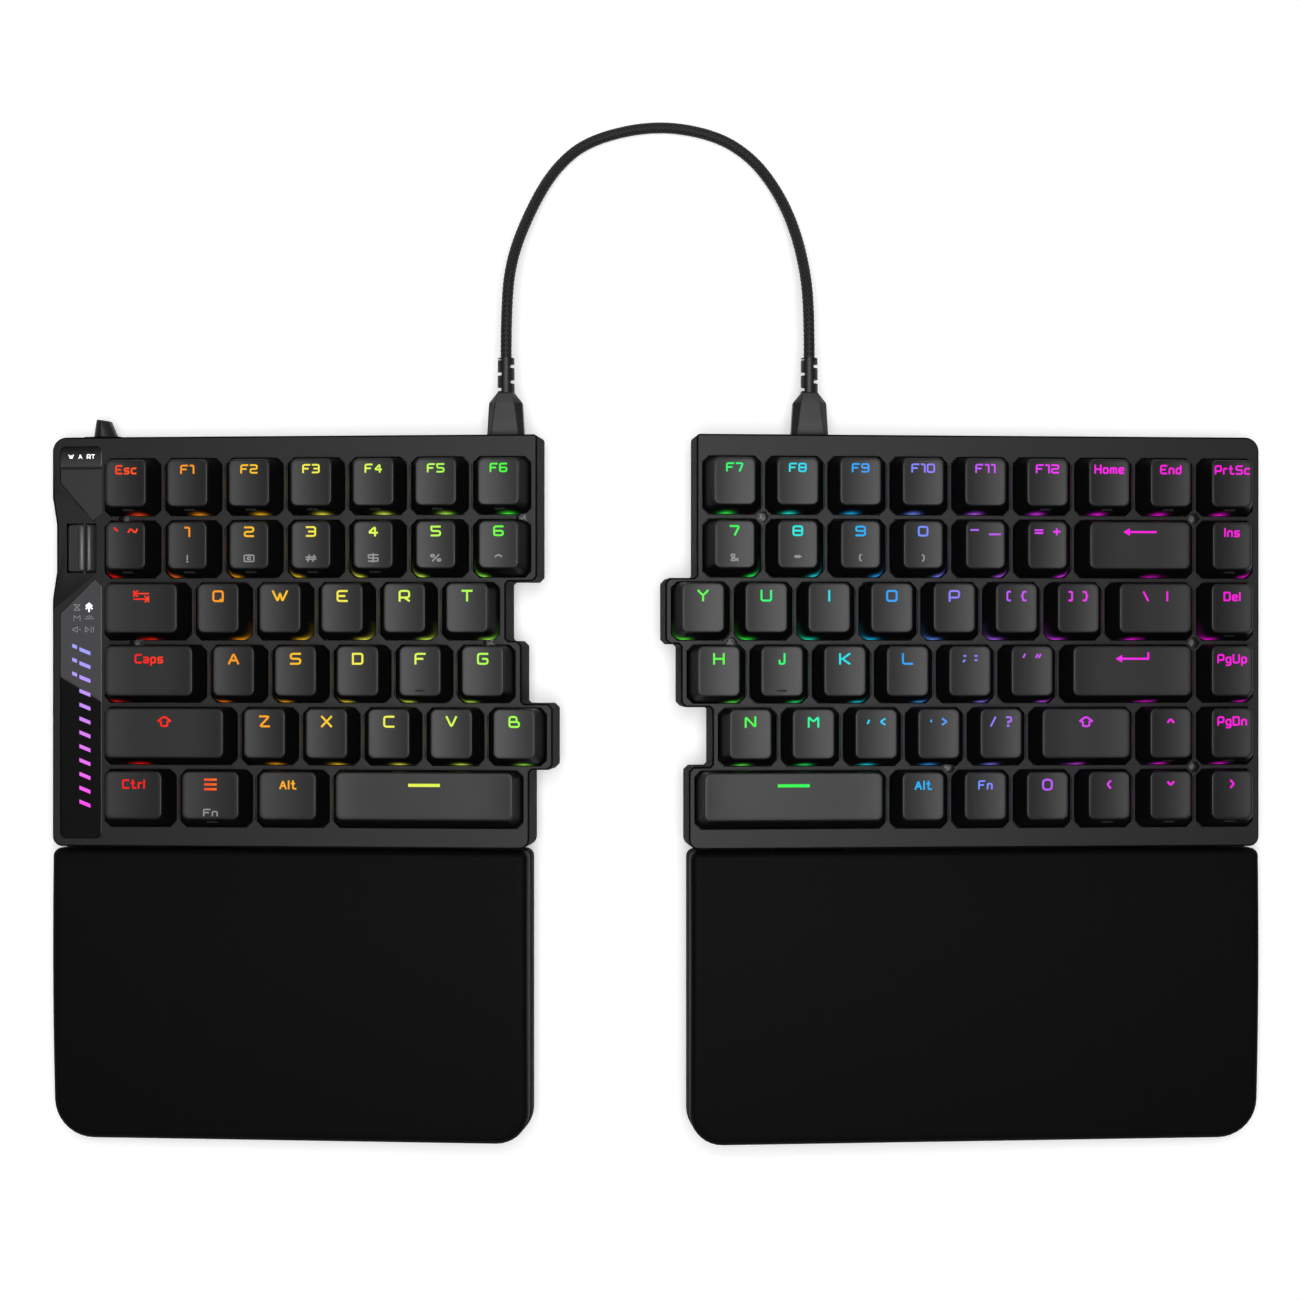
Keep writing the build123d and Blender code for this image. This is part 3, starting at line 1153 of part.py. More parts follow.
# Link cable: from one strain relief down to the desk, round in an arch and up to the other
cable_start_y = REAR_MARGIN + CASE_PROUD + PLUG_BODY_GAP + PLUG_LENGTH + RELIEF_LENGTH
cable_level = BOARD_LEVEL + PORT_HEIGHT / 2
left_end = left_deck.from_local_coords((LEFT_PORT_X, cable_start_y, cable_level))
right_end = right_deck.from_local_coords((RIGHT_PORT_X, cable_start_y, cable_level))
cable_route = [
    (left_end.X, left_end.Y, left_end.Z),
    (left_end.X, 144.4, left_end.Z),
    (-44.7, 160.5, 18.6),
    (-38.7, 177.8, 10.6),
    (-30.2, 190.4, 4.8),
    (-19.8, 198.7, 2.2),
    (1.0, 203.3, 1.9),
    (18.1, 200.3, 1.9),
    (29.2, 194.2, 2.4),
    (37.9, 184.2, 5.2),
    (43.1, 171.6, 11.0),
    (46.2, 156.6, 18.0),
    (right_end.X, 143.1, right_end.Z),
    (right_end.X, right_end.Y, right_end.Z),
]


def bend_radii(points):
    """Radius of each bend, as large as its two runs allow."""
    radii = []
    for before, here, after in zip(points, points[1:], points[2:]):
        one = Vector(*here) - Vector(*before)
        two = Vector(*after) - Vector(*here)
        turn = radians(one.get_angle(two))
        radii.append(ARC_SHARE * min(one.length, two.length) / tan(turn / 2))
    return radii


radii = bend_radii(cable_route)
with BuildPart() as link_cable:
    with BuildLine() as cable_path:
        FilletPolyline(*cable_route, radius=radii)
    with BuildSketch(Plane(origin=left_end, x_dir=(1, 0, 0), z_dir=(0, 1, 0))) as cable_section:
        RegularPolygon(CABLE_RADIUS, ROUND_SIDES, major_radius=False, rotation=HALF_SIDE)
    sweep()
link_cable.part.label = "link_cable"
export_step(link_cable.part, "parts/link_cable.step")
length = sum(edge.length for edge in cable_path.line.edges())
section = cable_section.sketch.area
print("cable bends, mm:", [round(radius, 1) for radius in radii])
print("cable length, mm:", round(length, 1))
volume_share = link_cable.part.volume / (section * length)
print("cable volume against section times length:", round(volume_share, 4))
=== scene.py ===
"""Finished surfaces of an ergonomic split keyboard: caps, legends, backlight, strip, cable and palm rests.

Sizes are millimetres in the deck frame of a half: x along the key rows, y away from the typist, z up from
the frame's top face, with the origin at the rear outer corner of the key field.
"""

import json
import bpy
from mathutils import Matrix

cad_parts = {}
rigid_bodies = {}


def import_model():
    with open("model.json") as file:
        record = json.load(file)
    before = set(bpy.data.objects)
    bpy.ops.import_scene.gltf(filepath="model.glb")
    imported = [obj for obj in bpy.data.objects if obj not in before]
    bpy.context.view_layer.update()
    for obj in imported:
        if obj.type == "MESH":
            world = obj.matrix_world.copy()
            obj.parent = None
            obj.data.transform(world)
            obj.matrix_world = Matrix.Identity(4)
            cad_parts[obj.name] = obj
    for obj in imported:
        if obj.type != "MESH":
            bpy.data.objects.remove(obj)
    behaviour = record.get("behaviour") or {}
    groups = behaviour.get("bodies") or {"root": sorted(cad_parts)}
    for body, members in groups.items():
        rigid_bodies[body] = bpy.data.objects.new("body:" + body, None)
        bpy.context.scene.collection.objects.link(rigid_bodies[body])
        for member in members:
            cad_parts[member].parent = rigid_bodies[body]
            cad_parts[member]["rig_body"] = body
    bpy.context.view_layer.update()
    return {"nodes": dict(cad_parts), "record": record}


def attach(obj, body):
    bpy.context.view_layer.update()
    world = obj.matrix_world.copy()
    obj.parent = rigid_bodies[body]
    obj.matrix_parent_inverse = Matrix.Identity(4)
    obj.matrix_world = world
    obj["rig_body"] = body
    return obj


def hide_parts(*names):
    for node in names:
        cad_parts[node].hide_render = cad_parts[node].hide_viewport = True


bl_info = {
    "name": "Split Keyboard Surfaces",
    "version": (1, 0, 0),
    "blender": (4, 5, 0),
    "location": "View3D > Sidebar > Keyboard",
    "description": "Builds the finished surfaces of a split keyboard around its packed frame",
    "category": "Object",
}

from math import cos, pi, radians, sin

import bmesh
import bpy
import numpy as np

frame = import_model()

MM = 0.001
TENT = radians(5)
DECK_ORIGINS = {"left": (-169.943, 99.45, 21.511), "right": (13.45, 99.45, 35.199)}
KEY_PITCH = 19.05
HALVES = ("left", "right")

# Rows of the two halves as start and key widths, both in key units
ROWS = {
    "left": [
        (0, [1] * 7),
        (0, [1] * 7),
        (0, [1.5] + [1] * 5),
        (0, [1.75] + [1] * 5),
        (0, [2.25] + [1] * 5),
        (0, [1.25, 1.25, 1.25, 3.125]),
    ],
    "right": [
        (0, [1] * 9),
        (0, [1] * 6 + [2, 1]),
        (-0.5, [1] * 7 + [1.5, 1]),
        (-0.25, [1] * 6 + [2.25, 1]),
        (0.25, [1] * 5 + [1.75, 1, 1]),
        (-0.125, [3.125] + [1] * 6),
    ],
}

# Key nodes as half, row and places in the row
KEY_NODES = {
    "left_function_keys": ("left", 0, range(7)),
    "left_number_keys": ("left", 1, range(7)),
    "tab_key": ("left", 2, [0]),
    "left_upper_letter_keys": ("left", 2, range(1, 6)),
    "caps_lock_key": ("left", 3, [0]),
    "left_home_row_keys": ("left", 3, range(1, 6)),
    "left_shift_key": ("left", 4, [0]),
    "left_lower_letter_keys": ("left", 4, range(1, 6)),
    "left_modifier_keys": ("left", 5, range(3)),
    "left_space_key": ("left", 5, [3]),
    "right_function_keys": ("right", 0, range(9)),
    "right_number_keys": ("right", 1, [0, 1, 2, 3, 4, 5, 7]),
    "backspace_key": ("right", 1, [6]),
    "right_upper_letter_keys": ("right", 2, [0, 1, 2, 3, 4, 5, 6, 8]),
    "backslash_key": ("right", 2, [7]),
    "right_home_row_keys": ("right", 3, [0, 1, 2, 3, 4, 5, 7]),
    "enter_key": ("right", 3, [6]),
    "right_lower_letter_keys": ("right", 4, [0, 1, 2, 3, 4, 6, 7]),
    "right_shift_key": ("right", 4, [5]),
    "right_space_key": ("right", 5, [0]),
    "right_modifier_keys": ("right", 5, range(1, 7)),
}

# Legends of each row; the words of one key stand side by side
LEGENDS = {
    "left": [
        ["Esc", "F1", "F2", "F3", "F4", "F5", "F6"],
        ["` ~", "1", "2", "3", "4", "5", "6"],
        ["tab", "Q", "W", "E", "R", "T"],
        ["Caps", "A", "S", "D", "F", "G"],
        ["lift", "Z", "X", "C", "V", "B"],
        ["Ctrl", "menu", "Alt", "bar"],
    ],
    "right": [
        ["F7", "F8", "F9", "F10", "F11", "F12", "Home", "End", "PrtSc"],
        ["7", "8", "9", "0", "- _", "= +", "erase", "Ins"],
        ["Y", "U", "I", "O", "P", "[ {", "] }", "\\  |", "Del"],
        ["H", "J", "K", "L", "; :", "' \"", "return", "PgUp"],
        ["N", "M", ", <", ". >", "/ ?", "lift", "up", "PgDn"],
        ["bar", "Alt", "Fn", "ring", "before", "down", "after"],
    ],
}

# Grey signs near the front edge of a cap top, by half and row
SECOND_LEGENDS = {
    ("left", 1): ["", "!", "@", "#", "$", "%", "^"],
    ("right", 1): ["&", "*", "(", ")", "", "", "", ""],
    ("left", 5): ["", "Fn", "", ""],
}

# Keys whose front skirt carries a small grey mark, by half and row
MARKED_SKIRTS = {
    ("left", 0): [0, 1, 2, 3, 4, 5, 6],
    ("left", 1): [0, 1, 2, 3, 4],
    ("left", 5): [1],
    ("right", 0): [5, 6, 7, 8],
    ("right", 1): [7],
    ("right", 2): [8],
    ("right", 4): [6, 7],
    ("right", 5): [4, 5, 6],
}
HOMING_KEYS = {("left", 3): [4], ("right", 3): [1]}

# Cap profile
CAP_TOP = 8.1
CAP_HEIGHT = 9.0
CAP_GAP = 0.825
CAP_SIDE_INSETS = [2.45, 2.7, 2.35, 2.35, 2.35, 2.35]
CAP_REAR_INSETS = [1.7, 1.5, 1.2, 1.1, 1.0, 1.1]
CAP_FRONT_INSETS = [3.25, 3.3, 3.0, 2.9, 3.1, 3.6]
SPACE_SIDE_INSET = 1.95
SPACE_FROM_UNITS = 3
CAP_DISH = 0.4
CAP_WALL = 1.3
CAP_ROOF = 1.6
CAP_BASE_RADIUS = 3.1
CAP_TOP_RADIUS = 1.9
CAP_SHOULDER = 0.55
STEM = 3.6
STEM_LENGTH = 8.5
CORNER_STEPS = 6
LONG_STEPS = 9
SIDE_STEPS = 4

# Control strip, screws, wheel and rear pieces
STRIP_LEVEL = -0.1
WHEEL_PLACE = (-6.75, -28.1, -3.6)
WHEEL_RADIUS = 5.2
WHEEL_LENGTH = 14.4
WHEEL_RIBS = 8
WHEEL_RIB_DEPTH = 0.45
AXLE_RADIUS = 1.0
AXLE_LENGTH = 1.4
SCREW_LEVEL = -6.5
SCREW_HEIGHT = 1.2
SCREW_RADIUS = 1.5
SCREWS = {
    "left": [(0.35, 1), (6.81, 1), (6.28, 3), (0.53, 3)],
    "right": [(1, 1), (8, 1), (0.5, 3), (8, 3), (4, 5), (8, 5)],
}
LEVER_X = -1.45
LEVER_LEVEL = -7.6
LEVER_SEAT = 6.65
PORT_X = {"left": 123.6, "right": 34.6}
PLUG_LEVEL = -9.9
PLUG_START = 6.2
PLUG_LENGTH = 13.2
RELIEF_LENGTH = 10.8
CABLE_START = PLUG_START + PLUG_LENGTH + RELIEF_LENGTH
CABLE_RADIUS = 1.75
SLOT_PITCH = 4.75
LEFT_SLOT_START = 1.1
RIGHT_SLOT_START = 3.45

# Palm rests: plan limits along x, rear edge and heights
PALM_SPAN = {"left": (-16.85, 131.0), "right": (-2.5, 173.9)}
PALM_REAR = -120.55
PALM_LENGTH = 89.9
PALM_LEVEL = -12.5
PALM_TOP = -2.0
PALM_CROWN_RADIUS = 600.0
PALM_CROWN_SHARE = 0.33
PALM_OUTER_RADIUS = 12.0
PALM_INNER_RADIUS = 10.0
PALM_REAR_RADIUS = 2.5
PALM_SHOULDER = 2.2


def deck_axes(half):
    """Directions of a deck frame: along the rows, away from the typist and up from the deck."""
    lean = -1 if half == "left" else 1
    return np.array([[cos(TENT), 0, -lean * sin(TENT)], [0, 1, 0], [lean * sin(TENT), 0, cos(TENT)]])


def to_world(half, points):
    """World points in metres: the deck's origin plus each coordinate times its direction."""
    return (np.array(DECK_ORIGINS[half]) + np.asarray(points, float) @ deck_axes(half)) * MM


def cells(half, row):
    """Centre x, centre y and width in units of each key of a row."""
    start, widths = ROWS[half][row]
    centres = (start + np.cumsum(widths) - np.array(widths) / 2) * KEY_PITCH
    return [(x, -(row + 0.5) * KEY_PITCH, units) for x, units in zip(centres, widths)]


def body_of(node):
    """The CAD body that carries a node."""
    return frame["nodes"][node]["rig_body"]


def slot_of(node):
    """The material slot of a CAD node."""
    return next(s["material_slot"] for s in frame["record"]["subparts"] if s["node"] == node)


def full_turn(count):
    """Angles of a full turn in even steps."""
    return np.linspace(0, 2 * pi, count, endpoint=False)


def points_at(x, y, z):
    """Points from three coordinates, each an array or one number for all."""
    return np.stack(np.broadcast_arrays(x, y, z), -1).reshape(-1, 3)


def tube(rings):
    """Shell of rings of equal count: quads between them, and a face that closes each end."""
    count, points = len(rings[0]), np.concatenate(rings)
    r, c = np.meshgrid(np.arange(len(rings) - 1) * count, np.arange(count), indexing="ij")
    after = (c + 1) % count
    sides = np.stack([r + c, r + after, r + count + after, r + count + c], -1).reshape(-1, 4)
    return points, sides.tolist() + [list(range(count))[::-1], list(range(len(points) - count, len(points)))]


def make_piece(name, points, faces, body, slot, material, smooth=True, outward=False):
    """A finished piece at the origin, its place in its mesh, riding on the CAD body that carries it."""
    mesh = bpy.data.meshes.new(name)
    mesh.from_pydata(np.asarray(points).tolist(), [], [[int(i) for i in face] for face in faces])
    if outward:
        work = bmesh.new()
        work.from_mesh(mesh)
        bmesh.ops.recalc_face_normals(work, faces=work.faces)
        work.to_mesh(mesh)
        work.free()
    if smooth:
        mesh.shade_smooth()
        mesh.set_sharp_from_angle(angle=radians(38))
    else:
        mesh.shade_flat()
    mesh.materials.append(material)
    piece = bpy.data.objects.new(name, mesh)
    bpy.context.scene.collection.objects.link(piece)
    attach(piece, body)
    return piece


def mark(piece, name, values):
    """Gives the points of a piece a number each, which its finish reads."""
    attribute = piece.data.attributes.new(name, "FLOAT", "POINT")
    attribute.data.foreach_set("value", np.asarray(values, np.float32).ravel())


def joined(shells):
    """Points and faces of several shells as one mesh: each shell's faces move up by the points before it."""
    points, faces, start = [], [], 0
    for shell_points, shell_faces in shells:
        points.append(shell_points)
        faces += [[i + start for i in face] for face in shell_faces]
        start += len(shell_points)
    return np.concatenate(points), faces


def deck_piece(name, half, shells, node, material, **form):
    """Shells given in a deck frame as one piece, on the body of a CAD node."""
    points, faces = joined(shells)
    return make_piece(name, to_world(half, points), faces, body_of(node), slot_of(node), material, **form)


def rounded_edges(piece, width, segments, angle):
    """Rounds the edges of a piece that are sharper than an angle, by a bevel of one width in mm."""
    bevel = piece.modifiers.new("rounded_edges", "BEVEL")
    bevel.width = width * MM
    bevel.segments = segments
    bevel.limit_method = "ANGLE"
    bevel.angle_limit = radians(angle)
    return bevel


def eased(node, edge, material):
    """A copy of a CAD node with its triangles merged and its edges rounded."""
    work = bmesh.new()
    work.from_mesh(frame["nodes"][node].data)
    bmesh.ops.remove_doubles(work, verts=work.verts, dist=0.002 * MM)
    bmesh.ops.dissolve_limit(work, angle_limit=radians(1), verts=work.verts, edges=work.edges)
    mesh = bpy.data.meshes.new(node + "_eased")
    work.to_mesh(mesh)
    work.free()
    mesh.shade_smooth()
    mesh.set_sharp_from_angle(angle=radians(30))
    mesh.materials.append(material)
    piece = bpy.data.objects.new(node + "_eased", mesh)
    bpy.context.scene.collection.objects.link(piece)
    rounded_edges(piece, edge, 3, 30).harden_normals = True
    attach(piece, body_of(node))
    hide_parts(node)
    return piece


# Materials


def shader_of(name):
    """A new material with its tree and its Principled shader."""
    material = bpy.data.materials.new(name)
    material.use_nodes = True
    return material, material.node_tree, material.node_tree.nodes["Principled BSDF"]


def set_inputs(tree, node, links=(), values=()):
    """Links sources to inputs of a node and sets its constant inputs."""
    for socket, source in dict(links).items():
        tree.links.new(source, node.inputs[socket])
    for socket, value in dict(values).items():
        node.inputs[socket].default_value = value
    return node


def add_node(tree, kind, links=(), values=(), **settings):
    """A new shader node with its settings, its linked inputs and its constant inputs."""
    node = tree.nodes.new("ShaderNode" + kind)
    for name, value in settings.items():
        setattr(node, name, value)
    return set_inputs(tree, node, links, values)


def object_place(tree):
    """Object coordinates, and the same split into X, Y and Z."""
    where = add_node(tree, "TexCoord").outputs["Object"]
    return where, add_node(tree, "SeparateXYZ", {"Vector": where}).outputs


def object_noise(tree, scale, detail=3.0):
    """Noise on Object coordinates; the scale is in waves per metre."""
    where = add_node(tree, "TexCoord").outputs["Object"]
    return add_node(tree, "TexNoise", {"Vector": where}, {"Scale": scale, "Detail": detail}).outputs["Fac"]


def point_value(tree, name):
    """The number that the points of a piece carry under a name."""
    return add_node(tree, "Attribute", attribute_name=name).outputs["Fac"]


def combined(tree, operation, *sources):
    """One value worked out from several by a Math node; a plain number is a constant input."""
    links = {i: source for i, source in enumerate(sources) if not isinstance(source, float)}
    values = {i: source for i, source in enumerate(sources) if isinstance(source, float)}
    return add_node(tree, "Math", links, values, operation=operation).outputs["Value"]


def colour_mix(tree, factor, low, high):
    """Colour between two colours by a factor."""
    mix = add_node(tree, "Mix", {"Factor": factor}, data_type="RGBA")
    colours = [socket for socket in mix.inputs if socket.type == "RGBA"]
    colours[0].default_value = (*low, 1)
    colours[1].default_value = (*high, 1)
    return next(socket for socket in mix.outputs if socket.type == "RGBA")


def map_range(tree, value, low, high, to_low=0.0, to_high=1.0):
    """A value carried from one range to another, held at the ends."""
    ends = {"From Min": low, "From Max": high, "To Min": to_low, "To Max": to_high}
    return add_node(tree, "MapRange", {"Value": value}, ends).outputs["Result"]


def swung(tree, noise, low, high):
    """A value that follows the middle of a noise from low to high."""
    return map_range(tree, noise, 0.3, 0.7, low, high)


def bumped(tree, height, depth):
    """Normal of a surface whose height follows a value, to a depth in mm."""
    return add_node(tree, "Bump", {"Height": height}, {"Distance": depth * MM}).outputs["Normal"]


def moulded(name, colour, roughness, grain, depth, specular=0.5, swing=0.06, tone=0.12):
    """Moulded plastic or rubber: fine grain in the bump, slight variation of tone and roughness."""
    material, tree, shader = shader_of(name)
    fine = object_noise(tree, grain, 4.0)
    broad = object_noise(tree, grain / 60, 2.0)
    colour = np.array(colour)
    set_inputs(tree, shader, {
        "Normal": bumped(tree, fine, depth),
        "Base Color": colour_mix(tree, broad, colour * (1 - tone), colour * (1 + tone)),
        "Roughness": swung(tree, fine, roughness - swing, roughness + swing),
    }, {"Specular IOR Level": specular})
    return material, tree, shader


# Backlight colours: X plus a quarter of Y in mm, and linear colour
BACKLIGHT = [
    (-160.0, (1.00, 0.007, 0.007)), (-145.0, (1.00, 0.013, 0.007)), (-137.0, (1.00, 0.080, 0.013)),
    (-119.0, (1.00, 0.330, 0.010)), (-100.0, (1.00, 0.530, 0.015)), (-81.0, (0.95, 0.870, 0.080)),
    (-62.0, (0.72, 1.000, 0.090)), (-43.0, (0.46, 1.000, 0.090)), (-24.0, (0.06, 1.000, 0.050)),
    (24.0, (0.16, 1.000, 0.080)), (36.0, (0.05, 1.000, 0.070)), (45.0, (0.03, 1.000, 0.110)),
    (53.0, (0.02, 0.930, 0.380)), (62.0, (0.02, 0.840, 0.800)), (72.0, (0.015, 0.620, 0.950)),
    (83.0, (0.02, 0.380, 0.960)), (96.0, (0.13, 0.310, 1.000)), (104.0, (0.27, 0.230, 1.000)),
    (118.0, (0.50, 0.110, 0.960)), (136.0, (0.78, 0.045, 0.960)), (155.0, (1.00, 0.013, 0.860)),
    (176.0, (1.00, 0.007, 0.760)),
]
BACKLIGHT_LEAN = 0.25


def backlight_colour(tree):
    """Backlight colour by place: a ramp along X that leans with Y, on Object coordinates."""
    place = object_place(tree)[1]
    lean = combined(tree, "MULTIPLY_ADD", place["Y"], BACKLIGHT_LEAN, place["X"])
    low, high = BACKLIGHT[0][0] * MM, BACKLIGHT[-1][0] * MM
    ramp = add_node(tree, "ValToRGB", {"Fac": map_range(tree, lean, low, high)})
    elements = ramp.color_ramp.elements
    while len(elements) < len(BACKLIGHT):
        elements.new(0.5)
    for element, (place, colour) in zip(elements, BACKLIGHT):
        element.position = (place * MM - low) / (high - low)
        element.color = (*colour, 1)
    return ramp.outputs["Color"]


def add_glow(tree, shader, strength, attribute):
    """Emission in the backlight's colour; its strength follows a point attribute or a faint mottle."""
    if attribute:
        amount = map_range(tree, point_value(tree, attribute), 0, 1, 0, strength)
    else:
        amount = swung(tree, object_noise(tree, 700, 2.0), strength * 0.93, strength * 1.05)
    set_inputs(tree, shader, {"Emission Color": backlight_colour(tree), "Emission Strength": amount})


def lit(name, strength, attribute=None):
    """Translucent plastic lit from behind with the backlight's colour, by an attribute where one is named;
    with an attribute it is painted light, the backlight's spill on the lattice ribs.
    """
    material, tree, shader = shader_of(name)
    set_inputs(tree, shader, values={"Base Color": (0.002, 0.002, 0.002, 1), "Roughness": 0.6,
                                     "Specular IOR Level": 0.1})
    add_glow(tree, shader, strength, attribute)
    return material


def printed(name, colour, glow=0.0):
    """Pad print or a small pale lamp window, slightly mottled."""
    material, tree, shader = shader_of(name)
    tint = colour_mix(tree, object_noise(tree, 4000, 2.0), [c * 0.85 for c in colour], colour)
    set_inputs(tree, shader, {"Base Color": tint}, {"Roughness": 0.55})
    if glow:
        set_inputs(tree, shader, {"Emission Color": tint}, {"Emission Strength": glow})
    return material


def panel_with_painted_reflection(name, pale, dark, place, slope, soft):
    """Smoked panel, pale on the rear side of a slanting border through a place and black in front of it; the
    lighter tone is a painted reflection of the softbox.
    """
    material, tree, shader = moulded(name, dark, 0.22, 4000, 0.002, swing=0.04)
    parts = object_place(tree)[1]
    across = combined(tree, "MULTIPLY_ADD", parts["X"], -slope, parts["Y"])
    line = (place[1] - slope * place[0]) * MM
    share = map_range(tree, across, line - soft * MM, line + soft * MM)
    amount = combined(tree, "MULTIPLY", share, swung(tree, object_noise(tree, 3000, 2.0), 0.95, 1.05))
    # Base colour: the lighter tone on its side of the border is painted reflection, the other is the panel's
    # own smoked colour.
    set_inputs(tree, shader, {"Base Color": colour_mix(tree, amount, dark, pale)})
    return material


def braid_finish():
    """Black braided sleeve: the strands' crowns catch light, and the gaps between them get a near-black base
    colour as painted shade.
    """
    material, tree, shader = shader_of("braided_sleeve")
    # Painted shade: the weave number turns the base colour near black in the gaps between strands.
    share = map_range(tree, point_value(tree, "weave"), 0.25, 0.9)
    set_inputs(tree, shader, {
        "Base Color": colour_mix(tree, share, (0.0006, 0.0006, 0.0006), (0.02, 0.02, 0.021)),
        "Normal": bumped(tree, object_noise(tree, 20000, 2.0), 0.02),
    }, {"Roughness": 0.55, "Specular IOR Level": 0.3})
    return material


def cap_finish(look):
    """Cap plastic: its top catches the light, its skirt stays dark and glows where the backlight leaks."""
    material, tree, shader = moulded("cap_plastic", look.cap_colour, 0.48, 9000, 0.012)
    add_glow(tree, shader, look.leak_strength, "glow")
    shine = map_range(tree, point_value(tree, "crown"), 0, 1, 0.05, 0.4)
    set_inputs(tree, shader, {"Specular IOR Level": shine})
    return material


# Moulded finishes: colour, roughness, grain in waves per metre, depth of the grain in mm and specular level
MOULDED = {
    "case": ((0.002, 0.002, 0.0021), 0.7, 6000, 0.02, 0.04),
    "inner": ((0.004, 0.004, 0.004), 0.6, 5000, 0.02),
    "foot": ((0.008, 0.008, 0.008), 0.8, 5000, 0.03),
    "badge": ((0.009, 0.009, 0.0095), 0.5, 7000, 0.008),
    "wheel": ((0.03, 0.03, 0.031), 0.4, 7000, 0.01),
    "screw": ((0.16, 0.16, 0.165), 0.4, 5000, 0.004),
    "plug": ((0.006, 0.006, 0.0062), 0.45, 7000, 0.015, 0.36),
}
# Slanting border of the painted reflection on the light panel, and its slope
STRIP_REFLECTION_BORDER = (-176.5, 27.9)
STRIP_REFLECTION_BORDER_SLOPE = -0.597
# Middle of the soft border of the painted reflection on the indicator window
WINDOW_REFLECTION_BORDER = (-176.5, 99.0)


def make_finishes(look):
    """The keyboard's finishes by name."""
    finishes = {name: moulded(name + "_finish", *form)[0] for name, form in MOULDED.items()}
    finishes.update({
        "cap": cap_finish(look),
        "frame": moulded("frame_plastic", look.frame_colour, 0.52, 7000, 0.02, 0.3)[0],
        "silicone": moulded("soft_silicone", look.silicone_colour, 0.62, 12000, 0.006, 0.06)[0],
        "lit": lit("lit_legend", look.legend_strength),
        # Painted light: the strips on the lattice ribs glow as the backlight's spill, though they are no
        # lamp.
        "leak": lit("light_leak", 0.035, "glow"),
        "printed": printed("grey_print", (0.30, 0.30, 0.31)),
        "faint": printed("faint_print", (0.10, 0.10, 0.105)),
        "lamp": printed("white_lamp", (0.9, 0.9, 0.92), 1.0),
        # Light panel: its pale rear part is a painted reflection of the softbox, ending at a slanting border.
        "light": panel_with_painted_reflection("smoked_light_panel_painted_reflection", (0.07, 0.07, 0.074), (0.002, 0.002, 0.002),
                             STRIP_REFLECTION_BORDER, STRIP_REFLECTION_BORDER_SLOPE, 0.35),
        # Indicator window: its paler front is a painted reflection of the softbox, fading to its dark rear.
        "window": panel_with_painted_reflection("smoked_window_painted_reflection", (0.004, 0.004, 0.004), (0.06, 0.06, 0.064),
                              WINDOW_REFLECTION_BORDER, 0.0, 3.2),
        "braid": braid_finish(),
    })
    return finishes


# Finishes of the slots that are not named as their finish is
SLOT_FINISH = {"plate": "inner", "foam": "foot", "board": "inner", "switch": "inner", "port": "screw",
               "battery": "screw", "relief": "foot", "cable": "braid"}


def finish_of(node, finishes):
    """The finish of a CAD node by its slot."""
    return finishes[SLOT_FINISH.get(slot_of(node), slot_of(node))]


def dress_nodes(finishes):
    """Gives every CAD node the finish of its slot."""
    for name, node in frame["nodes"].items():
        node.data.materials.clear()
        node.data.materials.append(finish_of(name, finishes))


# Caps


def cap_top(half, row, place):
    """Centre x and y, half width and half depth of the top, its shift to the rear, and width in units."""
    x, y, units = cells(half, row)[place]
    inset = SPACE_SIDE_INSET if units > SPACE_FROM_UNITS else CAP_SIDE_INSETS[row]
    rear, front = CAP_REAR_INSETS[row], CAP_FRONT_INSETS[row]
    half_width, half_depth = units * KEY_PITCH / 2 - CAP_GAP - inset, (KEY_PITCH - rear - front) / 2
    return x, y, half_width, half_depth, (front - rear) / 2, units


def dish_level(x, half_width, units):
    """Height of a cap top: a trough across, z = top - dish (1 - (x/w)^2), with a flat middle on wide keys."""
    reach = np.clip((np.abs(x) - max(0.0, half_width - KEY_PITCH / 2)) / min(half_width, KEY_PITCH / 2), 0, 1)
    return CAP_TOP - CAP_DISH * (1 - reach ** 2)


def rounded_ring(half_width, half_depth, radius):
    """Points round a rounded rectangle: a quarter arc at each corner and even steps between them."""
    radius = min(radius, half_width * 0.98, half_depth * 0.98)
    turn = np.linspace(0, pi / 2, CORNER_STEPS)
    arc = np.stack([np.cos(turn), np.sin(turn)], -1) * radius
    corners = []
    for k, (sx, sy) in enumerate([(1, 1), (-1, 1), (-1, -1), (1, -1)]):
        rot = np.array([[cos(k * pi / 2), sin(k * pi / 2)], [-sin(k * pi / 2), cos(k * pi / 2)]])
        corners.append(arc @ rot + np.array([sx * (half_width - radius), sy * (half_depth - radius)]))
    points = []
    for k, steps in enumerate([LONG_STEPS, SIDE_STEPS, LONG_STEPS, SIDE_STEPS]):
        share = np.linspace(0, 1, steps + 1)[1:-1, None]
        points += [corners[k], corners[k][-1] * (1 - share) + corners[(k + 1) % 4][0] * share]
    return np.concatenate(points)


# Places of the light leaks along the front skirts of each row, on the left half
LEAK_PLACES = [1.8, -6.0, 5.3, -5.0, 1.8, None]
LEAK_WIDTHS = [1.7, 1.3, 1.7, 1.5, 1.7, None]


